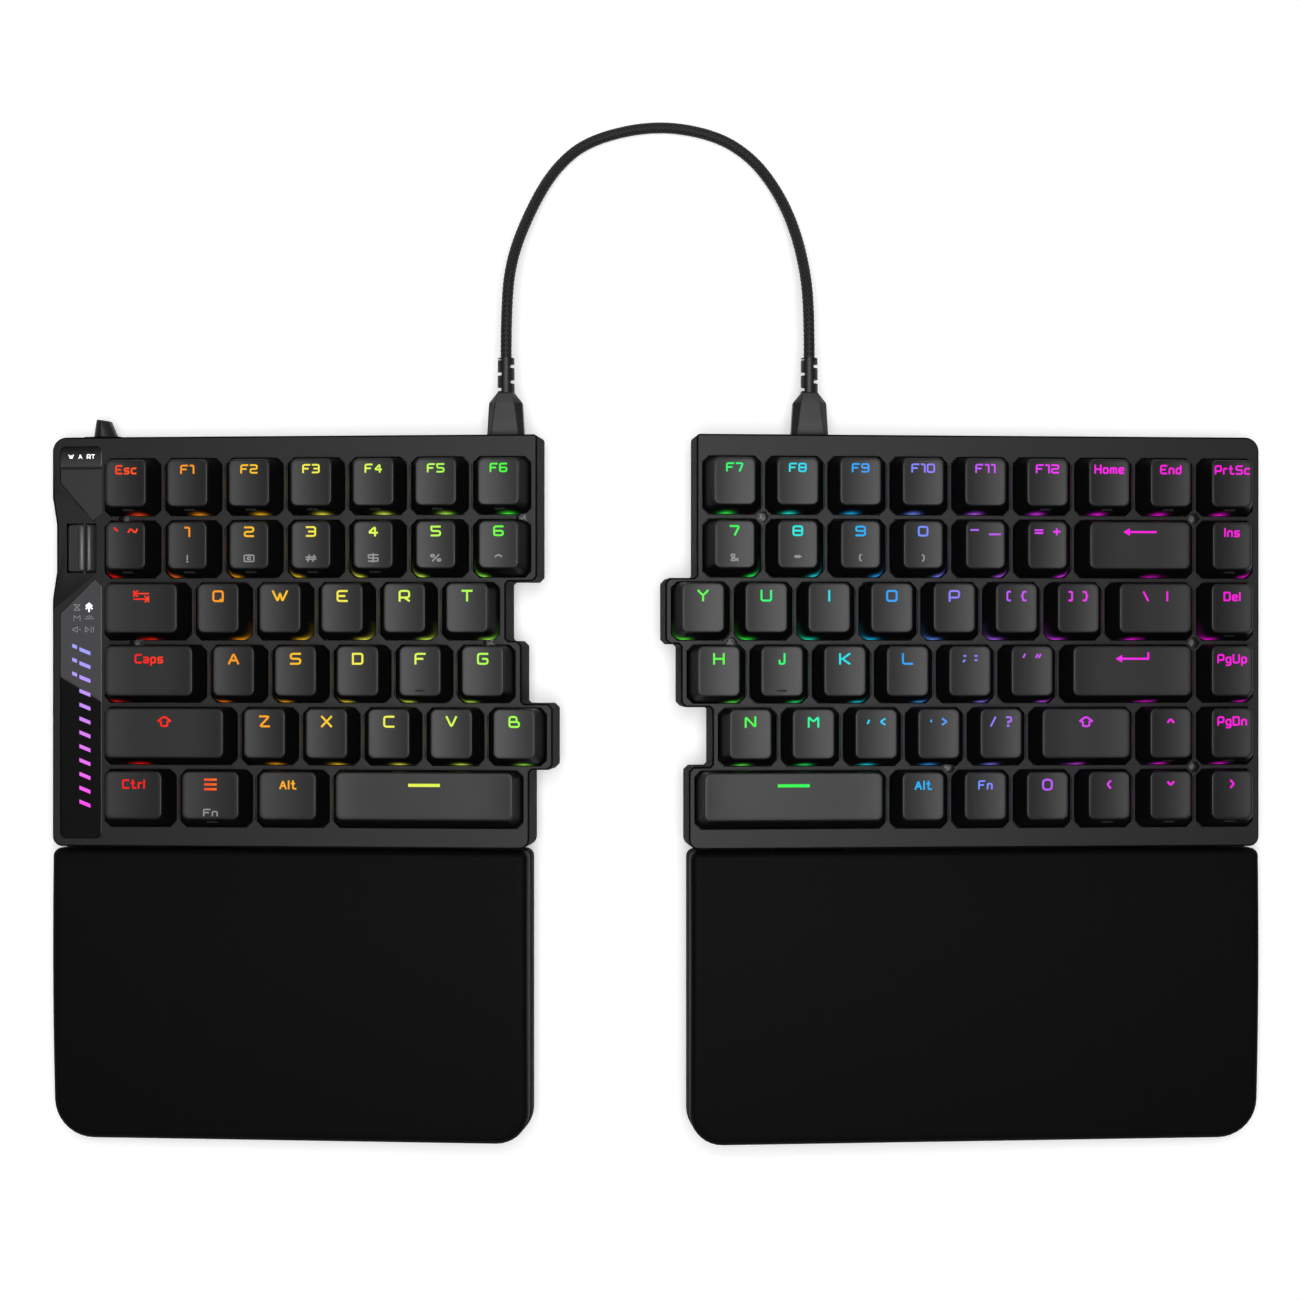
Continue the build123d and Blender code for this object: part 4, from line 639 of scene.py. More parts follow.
def cap_shell(half, row, place):
    """One cap as rings: out from the stem's end, up the hollow, down the wall, up the skirt, over the top.

    The skirt goes from the base ring to the top ring by a share t, with a bulge 4 b t (1 - t); the shoulder
    is a quarter circle; the top follows dish_level. With the shell come the glow of the light leak and
    the crown, which is 1 on the top and 0 on the skirt.
    """
    x, y, top_w, top_d, shift, units = cap_top(half, row, place)
    base_w, base_d = units * KEY_PITCH / 2 - CAP_GAP, KEY_PITCH / 2 - CAP_GAP
    base = CAP_TOP - CAP_HEIGHT
    ceiling = CAP_TOP - CAP_DISH - CAP_ROOF
    rings = []

    def ring(w, d, r, level, share):
        flat = rounded_ring(w, d, r)
        rings.append(points_at(flat[:, 0], flat[:, 1] + shift * share, level))

    def skirt(t, inset=0.0):
        w = base_w + (top_w - base_w) * t + 0.6 * t * (1 - t) - inset
        d = base_d + (top_d - base_d) * t + 0.4 * t * (1 - t) - inset
        radius = CAP_BASE_RADIUS + (CAP_TOP_RADIUS - CAP_BASE_RADIUS) * t - inset * 0.6
        ring(w, d, radius, base + CAP_HEIGHT * t, t)

    def over(inset, drop):
        flat = rounded_ring(top_w - inset, top_d - inset, max(CAP_TOP_RADIUS - inset, 0.3))
        level = dish_level(flat[:, 0], top_w, units) - drop
        rings.append(points_at(flat[:, 0], flat[:, 1] + shift, level))

    ring(0.02, 0.02, 0.01, ceiling - STEM_LENGTH, 0)
    ring(STEM / 2, STEM / 2, 0.3, ceiling - STEM_LENGTH, 0)
    ring(STEM / 2, STEM / 2, 0.3, ceiling, 0)
    skirt((ceiling - base) / CAP_HEIGHT, CAP_WALL)
    skirt(0.0, CAP_WALL)
    skirt(0.0, 0.15)
    outer = len(rings)
    for t in (0.02, 0.15, 0.3, 0.45, 0.6, 0.75, 0.88):
        skirt(t)
    crown_start = len(rings)
    for turn in np.linspace(0.12, 1, 5) * pi / 2:
        over(CAP_SHOULDER * (1 - cos(turn)) - 0.12, CAP_SHOULDER * (1 - sin(turn)))
    for share in (0.18, 0.34, 0.5, 0.66, 0.82, 0.97):
        over(min(top_w, top_d) * share, 0)
    count = len(rings[0])
    points, faces = tube(rings)
    glow = np.zeros(len(points))
    if LEAK_PLACES[row] is not None:
        hand = 1 if half == "left" else -1
        across = points[:, 0]
        if units > 1.3 and hand > 0:
            across = across + base_w - KEY_PITCH / 2 + CAP_GAP
        along = np.exp(-((across - hand * LEAK_PLACES[row]) / LEAK_WIDTHS[row]) ** 2)
        rise = np.exp(-((points[:, 2] - base) / 2.2) ** 2)
        front = (points[:, 1] < -base_d + 3.6) & (np.arange(len(points)) >= outer * count)
        glow = along * rise * front
    crown = np.clip(np.arange(len(points)) // count - crown_start + 1, 0, 2) / 2
    return points + np.array([x, y, 0]), faces, glow, crown


def build_caps(finishes):
    """Every key node's caps as one mesh, in place of the CAD node."""
    for node, (half, row, places) in KEY_NODES.items():
        shells = [cap_shell(half, row, place) for place in places]
        piece = deck_piece(node + "_caps", half, [shell[:2] for shell in shells], node, finishes["cap"])
        mark(piece, "glow", np.concatenate([shell[2] for shell in shells]))
        mark(piece, "crown", np.concatenate([shell[3] for shell in shells]))
        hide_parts(node)


# Strokes of each sign on a grid: digit pairs are x and y, the foot line is 2 and capitals reach 8
SIGNS = {
    "A": "02 28 42|14 34", "B": "05 45 42 02 08 38 35", "C": "48 08 02 42", "D": "08 02|08 48 42 02",
    "E": "48 08 02 42|05 35", "F": "02 08 48|05 35", "G": "48 08 02 42 45 25", "H": "02 08|42 48|05 45",
    "I": "02 08", "J": "38 32 02 04", "K": "02 08|48 15 42|05 15", "L": "08 02 42", "M": "02 08 25 48 42",
    "N": "02 08 42 48", "O": "08 48 42 02 08", "P": "02 08 48 44 04", "Q": "08 48 42 02 08|33 42",
    "R": "02 08 48 44 04|24 42", "S": "48 08 05 45 42 02", "T": "08 48|28 22", "U": "08 02 42 48",
    "V": "08 22 48", "W": "08 22 37 42 68", "X": "08 42|02 48", "Y": "08 25 48|25 22", "Z": "08 48 02 42",
    "a": "06 36 32 02 04 34", "c": "36 06 02 32", "d": "38 32 02 06 36", "e": "04 34 36 06 02 32",
    "g": "36 06 02 32|36 30 00", "l": "08 02", "m": "02 06 46 42|26 22", "n": "02 06 36 32",
    "o": "06 36 32 02 06", "p": "00 06 36 32 02", "r": "02 06 26", "s": "36 06 04 34 32 02",
    "t": "18 12 32|06 26", "i": "02 06",
    "0": "08 48 42 02 08", "1": "08 28 22", "2": "08 48 45 05 02 42", "3": "08 48 42 02|15 45",
    "4": "32 38 04 44", "5": "48 08|08 05 45 42 02", "6": "48 08 02 42 45 05", "7": "08 48 22",
    "8": "08 48 42 02 08|05 45", "9": "02 42 48 08 05 45",
    "`": "08 26", "~": "05 17 27 45 55 67", "!": "04 08|02 02", "@": "08 68 62 02 08|46 26 24 44",
    "#": "12 28|42 58|04 64|06 66", "$": "68 08 05 65 62 02|39 31",
    "%": "08 28 26 06 08|44 64 62 42 44|12 58", "^": "06 28 46",
    "&": "42 06 08 28 26 03 02 22 44", "*": "15 37|35 17|06 46", "(": "18 07 03 12",
    ")": "08 17 13 02", "-": "06 56", "_": "03 73", "=": "04 54|06 56", "+": "05 45|27 23",
    "[": "28 08 02 22", "]": "08 28 22 02", "{": "38 18 16 05 14 12 32", "}": "08 28 26 35 24 22 02",
    "\\": "08 32", "|": "08 02", ";": "17 17|14 03", ":": "07 07|04 04", "'": "18 06", '"': "18 06|38 26",
    ",": "16 04", "<": "37 05 33", ".": "06 05", ">": "07 35 03", "/": "02 38", "?": "08 38 35 15 14|12 12",
}

# Drawn signs of keys and of the strip, on the same grid
DRAWN = {
    "tab": "09 05|07 87|29 07 25|85 81|03 83|65 83 61",
    "lift": "05 28 45 35 32 12 15 05",
    "menu": "08 48|05 45|02 42",
    "ring": "18 38 47 43 32 12 03 07 18",
    "up": "04 27 44", "down": "07 24 47", "before": "38 15 32", "after": "08 25 02",
    "glass": "08 48 02 42 08", "jet": "28 22|06 28 46|04 26 44", "beam": "04 64|35 38|16 27|56 47",
    "sound": "04 06 16 38 32 14 04|45 55", "play": "08 02 35 08|58 52|78 72",
    "wave": "02 17 22 37 42 57 62 77 82",
}
LEGEND_INSETS = [2.9, 3.05, 3.8, 3.8, 3.8, 3.8]
LEGEND_LIFT = 0.03
SECOND_INSETS = [3.15, 3.15, 3.15, 3.15, 3.15, 2.0]


def strokes_of(sign):
    """A sign's strokes as point arrays in grid units, the foot line at zero."""
    text = DRAWN.get(sign) or SIGNS[sign]
    return [np.array([(int(p[0]), int(p[1]) - 2) for p in part.split()], float) for part in text.split("|")]


def rounded_stroke(points, radius):
    """A stroke with each corner a quadratic curve between two points on the runs beside it."""
    if len(points) < 3:
        return points
    closed = np.allclose(points[0], points[-1])
    ring = points[:-1] if closed else points
    out = [] if closed else [points[:1]]
    for i in range(len(ring)):
        if not closed and i in (0, len(ring) - 1):
            continue
        before, after = ring[i - 1] - ring[i], ring[(i + 1) % len(ring)] - ring[i]
        long_before, long_after = np.linalg.norm(before), np.linalg.norm(after)
        cut = min(radius, long_before * 0.45, long_after * 0.45)
        start, end = ring[i] + before / long_before * cut, ring[i] + after / long_after * cut
        t = np.linspace(0, 1, 5)[:, None]
        out.append((1 - t) ** 2 * start + 2 * t * (1 - t) * ring[i] + t * t * end)
    return np.concatenate(out + [out[0][:1] if closed else points[-1:]])


def ribbon(points, width):
    """The two edges of a flat ribbon: each point moved half a width along the mitre of its runs."""
    if len(points) == 2 and np.allclose(points[0], points[1]):
        points = points + np.array([[-width / 2, 0], [width / 2, 0]]) * 0.9
    closed = len(points) > 2 and np.allclose(points[0], points[-1])
    steps = np.diff(points, axis=0)
    steps = steps / (np.linalg.norm(steps, axis=1)[:, None] + 1e-12)
    points = points.copy()
    if not closed:
        points[0] -= steps[0] * width * 0.35
        points[-1] += steps[-1] * width * 0.35
    before = np.vstack([steps[-1:] if closed else steps[:1], steps])
    after = np.vstack([steps, steps[:1] if closed else steps[-1:]])
    side_before = np.column_stack([-before[:, 1], before[:, 0]])
    side_after = np.column_stack([-after[:, 1], after[:, 0]])
    mitre = side_before + side_after
    mitre /= np.linalg.norm(mitre, axis=1)[:, None] + 1e-12
    reach = width / 2 / np.maximum((mitre * side_after).sum(1), 0.5)[:, None]
    return points + mitre * reach, points - mitre * reach


def bar_strips(sign):
    """Long signs of wide keys: the bar of a space key, and arrows that point left, one with a bent end."""
    length = 9.0 if sign == "bar" else 9.9
    width = 0.95 if sign == "bar" else 0.6
    tail = -length / 2 + (0 if sign == "bar" else 1.0)
    strips = [ribbon(np.array([[tail, 0], [length / 2, 0]]), width)]
    if sign == "return":
        strips.append(ribbon(np.array([[length / 2, 0], [length / 2, 1.7]]), width))
    if sign != "bar":
        tip = np.linspace(-length / 2 - 0.2, -length / 2 + 1.8, 4)
        spread = np.linspace(0.0, 1.15, 4)
        strips.append((np.column_stack([tip, spread]), np.column_stack([tip, -spread])))
    return strips


def word_strips(text, height, width, narrow, radius=1.2):
    """Ribbons of a word, its signs set side by side and centred on the middle of the whole."""
    if text in ("bar", "erase", "return"):
        return bar_strips(text)
    unit, pen, strips = height / 6, 0.0, []
    for sign in [text] if text in DRAWN else list(text):
        if sign == " ":
            pen += 2.5
            continue
        strokes = strokes_of(sign)
        for stroke in strokes:
            shaped = rounded_stroke(stroke, radius) * np.array([unit * narrow, unit])
            strips.append(ribbon(shaped + np.array([pen, 0]), width))
        pen += max(stroke[:, 0].max() for stroke in strokes) * unit * narrow + width + height * 0.15
    every = np.concatenate([np.concatenate(strip) for strip in strips])
    middle = np.array([(every[:, 0].min() + every[:, 0].max()) / 2, height / 2])
    return [(a - middle, b - middle) for a, b in strips]


# Centre line height, stroke width and width share of the drawn signs of keys
SIGN_FORMS = {
    "tab": (2.5, 0.45, 1.35), "lift": (3.0, 0.55, 2.0), "menu": (2.9, 0.7, 1.75), "ring": (3.0, 0.6, 1.35),
    "up": (2.0, 0.6, 1.3), "down": (2.0, 0.6, 1.3), "before": (2.1, 0.6, 1.35), "after": (2.1, 0.6, 1.35),
}


def legend_form(text):
    """Height of the centre lines, stroke width and width share of a legend."""
    if text in SIGN_FORMS:
        return SIGN_FORMS[text]
    if " " in text:
        return 2.6, 0.55, 1.05
    if text.isdigit():
        return 2.65, 0.58, 1.5
    if len(text) == 1:
        return 3.0, 0.6, 1.0 if text in "IJ" else 1.45
    if text[0] == "F" and text[1:].isdigit():
        return 2.3, 0.52, 1.3
    return 2.35, 0.52, 1.12


def divided(strip, step=0.6):
    """A ribbon with its long runs divided, so that it follows a curved surface."""
    a, b = strip
    out_a, out_b = [a[:1]], [b[:1]]
    for i in range(len(a) - 1):
        t = np.linspace(0, 1, max(1, int(np.ceil(np.linalg.norm(a[i + 1] - a[i]) / step))) + 1)[1:, None]
        out_a.append(a[i] * (1 - t) + a[i + 1] * t)
        out_b.append(b[i] * (1 - t) + b[i + 1] * t)
    return np.concatenate(out_a), np.concatenate(out_b)


def ribbon_shell(a, b):
    """Points and upward faces of a ribbon from its left and right edges."""
    count = len(a)
    faces = [[i, count + i, count + i + 1, i + 1] for i in range(count - 1)]
    return np.concatenate([a, b]), faces


def on_top(strip, top, centre):
    """A ribbon laid on a cap top, just above dish_level at each point."""
    x, y, top_w, _, shift, units = top
    edges = []
    for edge in divided(strip):
        flat = edge + np.array(centre)
        level = dish_level(flat[:, 0], top_w, units) + LEGEND_LIFT
        edges.append(points_at(flat[:, 0] + x, flat[:, 1] + y + shift, level))
    return ribbon_shell(*edges)


def on_skirt(strip, half, row, place):
    """A ribbon laid on the front skirt of a cap: its depth in plan sets the share t down the skirt."""
    x, y, top_w, top_d, shift, units = cap_top(half, row, place)
    base_d = KEY_PITCH / 2 - CAP_GAP
    front_top, front_base = -top_d + shift, -base_d
    edges = []
    for edge in strip:
        plan = front_top - 0.75 + edge[:, 1] * 0.36
        t = 1 - (front_top - plan) / (front_top - front_base)
        level = CAP_TOP - CAP_HEIGHT * (1 - t)
        edges.append(points_at(edge[:, 0] + x, plan + y - 0.4 * t * (1 - t) - 0.09, level + LEGEND_LIFT))
    return ribbon_shell(*edges)


def legend_shells(node, kind):
    """Ribbons of one kind on all the keys of a node: lit, printed, or faint ones on the skirt."""
    half, row, places = KEY_NODES[node]
    shells = []
    for place in places:
        top = cap_top(half, row, place)
        if kind == "lit":
            text = LEGENDS[half][row][place]
            centre = (0.0, top[3] - LEGEND_INSETS[row])
            shells += [on_top(strip, top, centre) for strip in word_strips(text, *legend_form(text))]
        elif kind == "printed":
            text = SECOND_LEGENDS.get((half, row), [""] * 9)[place]
            centre = (0.0, -top[3] + SECOND_INSETS[row])
            if text:
                shells += [on_top(strip, top, centre) for strip in word_strips(text, 1.9, 0.42, 1.55, 0.8)]
        elif place in MARKED_SKIRTS.get((half, row), []):
            shells += [on_skirt(strip, half, row, place) for strip in word_strips("wave", 1.5, 0.3, 1.6, 0.5)]
    return shells


def build_legends(finishes):
    """The lit, printed and faint legends of every key node."""
    for node, (half, _, _) in KEY_NODES.items():
        for kind in ("lit", "printed", "faint"):
            shells = legend_shells(node, kind)
            if shells:
                deck_piece(f"{node}_{kind}_legends", half, shells, node, finishes[kind], smooth=False)


def homing_bar(half, row, place):
    """Raised bar near the front of a cap top: half an ellipse in section, z = h sqrt(1 - (v/w)^2)."""
    x, y, top_w, top_d, shift, units = cap_top(half, row, place)
    uu, aa = np.meshgrid(np.linspace(-1, 1, 13), np.linspace(0, pi, 9), indexing="ij")
    ends = np.sqrt(np.clip(1.02 - uu ** 4, 0, 1))
    px, py = uu * 1.6, np.cos(aa) * 0.28 * ends
    pz = dish_level(px, top_w, units) - 0.05 + np.sin(aa) * 0.4 * ends
    return tube(np.stack([px + x, py + y + shift - top_d + 1.7, pz], -1))


def build_homing_bars(finishes):
    """The homing bars of the two home rows."""
    for (half, row), places in HOMING_KEYS.items():
        node = half + "_home_row_keys"
        bars = [homing_bar(half, row, place) for place in places]
        piece = deck_piece(node + "_homing_bar", half, bars, node, finishes["cap"], outward=True)
        mark(piece, "crown", np.ones(len(piece.data.vertices)))


def rib_leaks(half):
    """Dim light on the lattice ribs between keys: narrow upright strips that fade towards their ends."""
    shells, glow = [], []
    for row in range(len(ROWS[half])):
        start, widths = ROWS[half][row]
        edges = (start + np.cumsum(widths)[:-1]) * KEY_PITCH
        hand = 1 if half == "left" else -1
        for edge in edges:
            v = np.linspace(-1, 1, 9)
            y = -(row + 0.5) * KEY_PITCH + v * (KEY_PITCH / 2 - 3.0)
            left, right = sorted((edge + hand * 0.02, edge + hand * 0.42))
            shells.append(ribbon_shell(points_at(left, y, 0.02), points_at(right, y, 0.02)))
            glow.append(np.tile(np.cos(v * pi / 2) ** 1.5, 2))
    return shells, np.concatenate(glow)


def build_leaks(finishes):
    """Light leaks on the lattices of the two halves."""
    for half in HALVES:
        shells, glow = rib_leaks(half)
        node = half + "_top_frame"
        piece = deck_piece(half + "_rib_light", half, shells, node, finishes["leak"], smooth=False)
        mark(piece, "glow", glow)


# Control strip


def strip_shells(sign, x, y, height, width, narrow):
    """Ribbons of a sign on the control strip, centred on a place of the deck."""
    shells = []
    for strip in word_strips(sign, height, width, narrow, 0.6):
        edges = [points_at(edge[:, 0] + x, edge[:, 1] + y, STRIP_LEVEL + LEGEND_LIFT) for edge in strip]
        shells.append(ribbon_shell(*edges))
    return shells


def dash(x, y, length, height, slope):
    """Slanting dash with upright ends, as two edges."""
    px = np.array([x - length / 2, x + length / 2])
    py = y - slope * (px - x)
    level = STRIP_LEVEL + LEGEND_LIFT
    return ribbon_shell(points_at(px, py + height / 2, level), points_at(px, py - height / 2, level))


DASH_X, DASH_Y, DASH_PITCH, DASH_COUNT = -5.6, -59.8, 4.257, 12
DASH_LENGTH, DASH_HEIGHT, DASH_SLOPE, DASH_FADE = 3.45, 1.15, 0.40, 47.0
STRIP_ICONS = [("glass", -8.1, -46.3, 1.85), ("M", -8.1, -49.6, 1.7), ("beam", -4.2, -49.5, 1.6),
               ("sound", -8.2, -53.1, 1.75), ("play", -4.2, -53.1, 1.3)]
WINDOW_MARKS = [("W", -9.95), ("A", -7.05), ("RT", -3.75)]


def dash_finish():
    """Lamps of the strip: blue-violet at the rear to magenta at the front, along Object Y."""
    material, tree, shader = shader_of("strip_lamps")
    rear = DECK_ORIGINS["left"][1] + DASH_Y
    share = map_range(tree, object_place(tree)[1]["Y"], rear * MM, (rear - DASH_FADE) * MM)
    tint = colour_mix(tree, share, (0.32, 0.33, 1.0), (1.0, 0.04, 0.85))
    set_inputs(tree, shader, {"Emission Color": tint},
               {"Emission Strength": 1.0, "Base Color": (0.02, 0.02, 0.02, 1)})
    return material


def build_strip(finishes):
    """Window, badge plate and light panel with rounded edges, their marks and their lamps."""
    eased("indicator_window", 0.18, finishes["window"])
    eased("badge_plate", 0.2, finishes["badge"])
    eased("light_strip", 0.18, finishes["light"])
    lamps = [dash(DASH_X, DASH_Y - k * DASH_PITCH, DASH_LENGTH, DASH_HEIGHT, DASH_SLOPE)
             for k in range(DASH_COUNT)]
    lamps += [dash(-8.85, -58.3 - k * DASH_PITCH, 1.5, 1.1, DASH_SLOPE) for k in range(3)]
    icons = sum((strip_shells(sign, x, y, 1.7, 0.2, narrow) for sign, x, y, narrow in STRIP_ICONS), [])
    active = strip_shells("jet", -4.3, -46.3, 2.5, 0.45, 1.1)
    marks = sum((strip_shells(sign, x, 0.05, 1.15, 0.26, 1.25) for sign, x in WINDOW_MARKS), [])
    for name, shells, node, material in (
            ("strip_lamps", lamps, "light_strip", dash_finish()),
            ("strip_icons", icons, "light_strip", finishes["printed"]),
            ("strip_active_icon", active, "light_strip", finishes["lamp"]),
            ("window_lamps", marks, "indicator_window", finishes["lamp"])):
        deck_piece(name, "left", shells, node, material, smooth=False)


def build_wheel(finishes):
    """Ribbed roller on its axle: radius = R - d (1 - |cos(n a / 2)|^0.4), eased at both ends."""
    count = WHEEL_RIBS * 16
    angle = full_turn(count)
    wave = 1 - np.abs(np.cos(WHEEL_RIBS * (angle - pi / 2) / 2)) ** 0.35
    profile = [(s, WHEEL_RADIUS - drop) for s, drop in ((0.0, 0.7), (0.12, 0.35), (0.35, 0.1), (0.7, 0.0))]
    end = WHEEL_LENGTH / 2
    x, y, z = WHEEL_PLACE
    rows = [(-end - AXLE_LENGTH, 0.01, 0), (-end - AXLE_LENGTH, AXLE_RADIUS, 0), (-end, AXLE_RADIUS, 0)]
    rows += [(-end + s, r, 1) for s, r in profile] + [(end - s, r, 1) for s, r in profile[::-1]]
    rows += [(end, AXLE_RADIUS, 0), (end + AXLE_LENGTH, AXLE_RADIUS, 0), (end + AXLE_LENGTH, 0.01, 0)]
    rings = []
    for along, radius, ribbed in rows:
        r = radius - ribbed * WHEEL_RIB_DEPTH * 2 * wave
        rings.append(points_at(x + r * np.cos(angle), y + along, z + r * np.sin(angle)))
    node = "control_wheel"
    piece = deck_piece("ribbed_wheel", "left", [tube(rings)], node, finishes["wheel"], outward=True)
    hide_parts(node)


def screw_head(x, y):
    """Round head: z = h (1 - 0.2 r^4), with three round pits at a third of a turn, each a smooth dip."""
    radii = np.array([0.01, 0.2, 0.35, 0.5, 0.62, 0.74, 0.86, 0.94, 1.0, 1.0]) * SCREW_RADIUS
    rr, aa = np.meshgrid(radii, full_turn(36), indexing="ij")
    px, py = rr * np.cos(aa), rr * np.sin(aa)
    level = SCREW_LEVEL + SCREW_HEIGHT * (1 - 0.2 * (rr / SCREW_RADIUS) ** 4)
    for k in range(3):
        pit = np.hypot(px - 0.72 * cos(k * 2 * pi / 3 + 0.5), py - 0.72 * sin(k * 2 * pi / 3 + 0.5))
        level -= 0.6 * np.exp(-(pit / 0.3) ** 4)
    level[-1] = SCREW_LEVEL
    return tube(np.stack([px + x, py + y, level], -1)[::-1])


def build_screws(finishes):
    """Screw heads seen in the notches of the lattice, with their shanks."""
    for half in HALVES:
        shells = []
        for units, down in SCREWS[half]:
            x, y = units * KEY_PITCH, -down * KEY_PITCH
            shells.append(screw_head(x, y))
            angle = full_turn(20)
            shells.append(tube([points_at(x + np.cos(angle), y + np.sin(angle), SCREW_LEVEL - depth)
                                for depth in (6.5, 4.0, 2.0, 0.0)]))
        node = half + "_case_screws"
        piece = deck_piece(node + "_turned", half, shells, node, finishes["screw"], outward=True)
        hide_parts(node)


def build_lever(finishes):
    """Fin of the mode lever: a ridged section, high at 0.4 of its width, that narrows towards the tip."""
    share = np.array([0.0, 0.0, 0.06, 0.18, 0.32, 0.42, 0.5, 0.75, 0.97, 1.0, 1.0])
    rise = np.array([-2.5, 0.2, 1.3, 2.0, 2.4, 2.5, 2.42, 1.6, 0.6, 0.3, -2.5])
    rings = []
    for v in (0.0, 0.08, 0.3, 0.55, 0.8, 0.93, 1.0):
        low, high = -3.5 + 0.85 * v, 3.5 - 2.05 * v
        lift = 1 - 0.12 * v - 0.25 * max(0.0, v - 0.9) * 10
        slant = 5.4 * v - 0.6 * v * share
        rings.append(points_at(LEVER_X + low + (high - low) * share, LEVER_SEAT + slant,
                            LEVER_LEVEL + np.where(rise > 0, rise * lift, rise)))
    x, z = np.array([-1.5, 1.5, 1.5, -1.5]), np.array([-1.3, -1.3, 1.3, 1.3])
    stem = [points_at(LEVER_X + x, LEVER_SEAT + depth, LEVER_LEVEL + z) for depth in (-3.1, 0.05)]
    shells = [tube(rings), tube(stem)]
    piece = deck_piece("mode_lever_fin", "left", shells, "mode_lever", finishes["plug"], outward=True)
    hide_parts("mode_lever")


def build_plugs(finishes):
    """Plugs with a narrowing top face between sloping sides, their shells, and ribbed strain reliefs.

    The relief's radius is R - d S(s) T(a): S is a smooth slot wave along it, staggered between its two sides,
    and T keeps the slots off its upper and lower spine.
    """
    for half in HALVES:
        port = PORT_X[half]
        rings = []
        for s, outer, flat, rise in ((0.0, 5.6, 4.2, 3.1), (0.25, 5.7, 4.25, 3.2), (5.0, 5.45, 3.6, 3.2),
                                     (9.8, 5.15, 2.9, 3.2), (10.2, 5.0, 2.85, 3.2), (13.0, 2.75, 2.35, 3.0),
                                     (13.2, 2.6, 2.2, 2.8)):
            x = np.array([flat, outer, outer, flat, -flat, -outer, -outer, -flat])
            z = np.array([rise, 1.2, -1.2, -rise, -rise, -1.2, 1.2, rise])
            rings.append(points_at(port + x, PLUG_START + s, PLUG_LEVEL + z))
        u, v = rounded_ring(4.15, 1.2, 1.0).T
        metal = [points_at(port + u, PLUG_START - depth, PLUG_LEVEL + v) for depth in (6.4, 6.2, 0.0)]
        node = half + "_plug"
        shells = [tube(rings), tube(metal)]
        piece = deck_piece(node + "_moulding", half, shells, node, finishes["plug"], outward=True)
        rounded_edges(piece, 0.2, 2, 25)
        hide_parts(node)

        s, angle = np.meshgrid(np.linspace(0, 1, 120), full_turn(48), indexing="ij")
        side = np.cos(angle)
        phase = (s * RELIEF_LENGTH - np.where(side > 0, RIGHT_SLOT_START, LEFT_SLOT_START)) / SLOT_PITCH
        slot = np.clip((np.cos(2 * pi * phase) - 0.72) * 8, 0, 1)
        reach = np.clip((np.abs(side) - 0.4) * 6, 0, 1)
        radius = 2.65 - 0.1 * s - 1.15 * slot * reach * (s > 0.04) * (s < 0.97)
        radius[0] = radius[-1] = 1.8
        sleeve = tube(np.stack([port + radius * np.cos(angle), PLUG_START + PLUG_LENGTH + s * RELIEF_LENGTH,
                                PLUG_LEVEL + radius * np.sin(angle)], -1))
        node = half + "_strain_relief"
        piece = deck_piece(node + "_sleeve", half, [sleeve], node, finishes["plug"], outward=True)
        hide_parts(node)


# Palm rests


def palm_ring(half, inset, steps=10):
    """Points round the plan of a palm rest, drawn in by an inset; each corner's radius shrinks with it."""
    low, high = PALM_SPAN[half]
    rear, front = PALM_REAR - inset, PALM_REAR - PALM_LENGTH + inset
    low, high = low + inset, high - inset
    outer, inner = PALM_OUTER_RADIUS, PALM_INNER_RADIUS
    front_left, front_right = (outer, inner) if half == "left" else (inner, outer)
    room = (rear - front) / 2 * 0.98
    radii = [PALM_REAR_RADIUS, PALM_REAR_RADIUS, front_left, front_right]
    radii = [min(max(radius - inset, 0.5), room) for radius in radii]
    centres = [(high, rear), (low, rear), (low, front), (high, front)]
    signs = [(1, 1), (-1, 1), (-1, -1), (1, -1)]
    turn = np.linspace(0, pi / 2, steps)
    corners = []
    for k in range(4):
        angle = turn + k * pi / 2
        centre = np.array(centres[k]) - np.array(signs[k]) * radii[k]
        corners.append(centre + np.column_stack([np.cos(angle), np.sin(angle)]) * radii[k])
    points = []
    for k, straight in enumerate([30, 16, 30, 16]):
        share = np.linspace(0, 1, straight + 1)[1:-1, None]
        points += [corners[k], corners[k][-1] * (1 - share) + corners[(k + 1) % 4][0] * share]
    return np.concatenate(points)


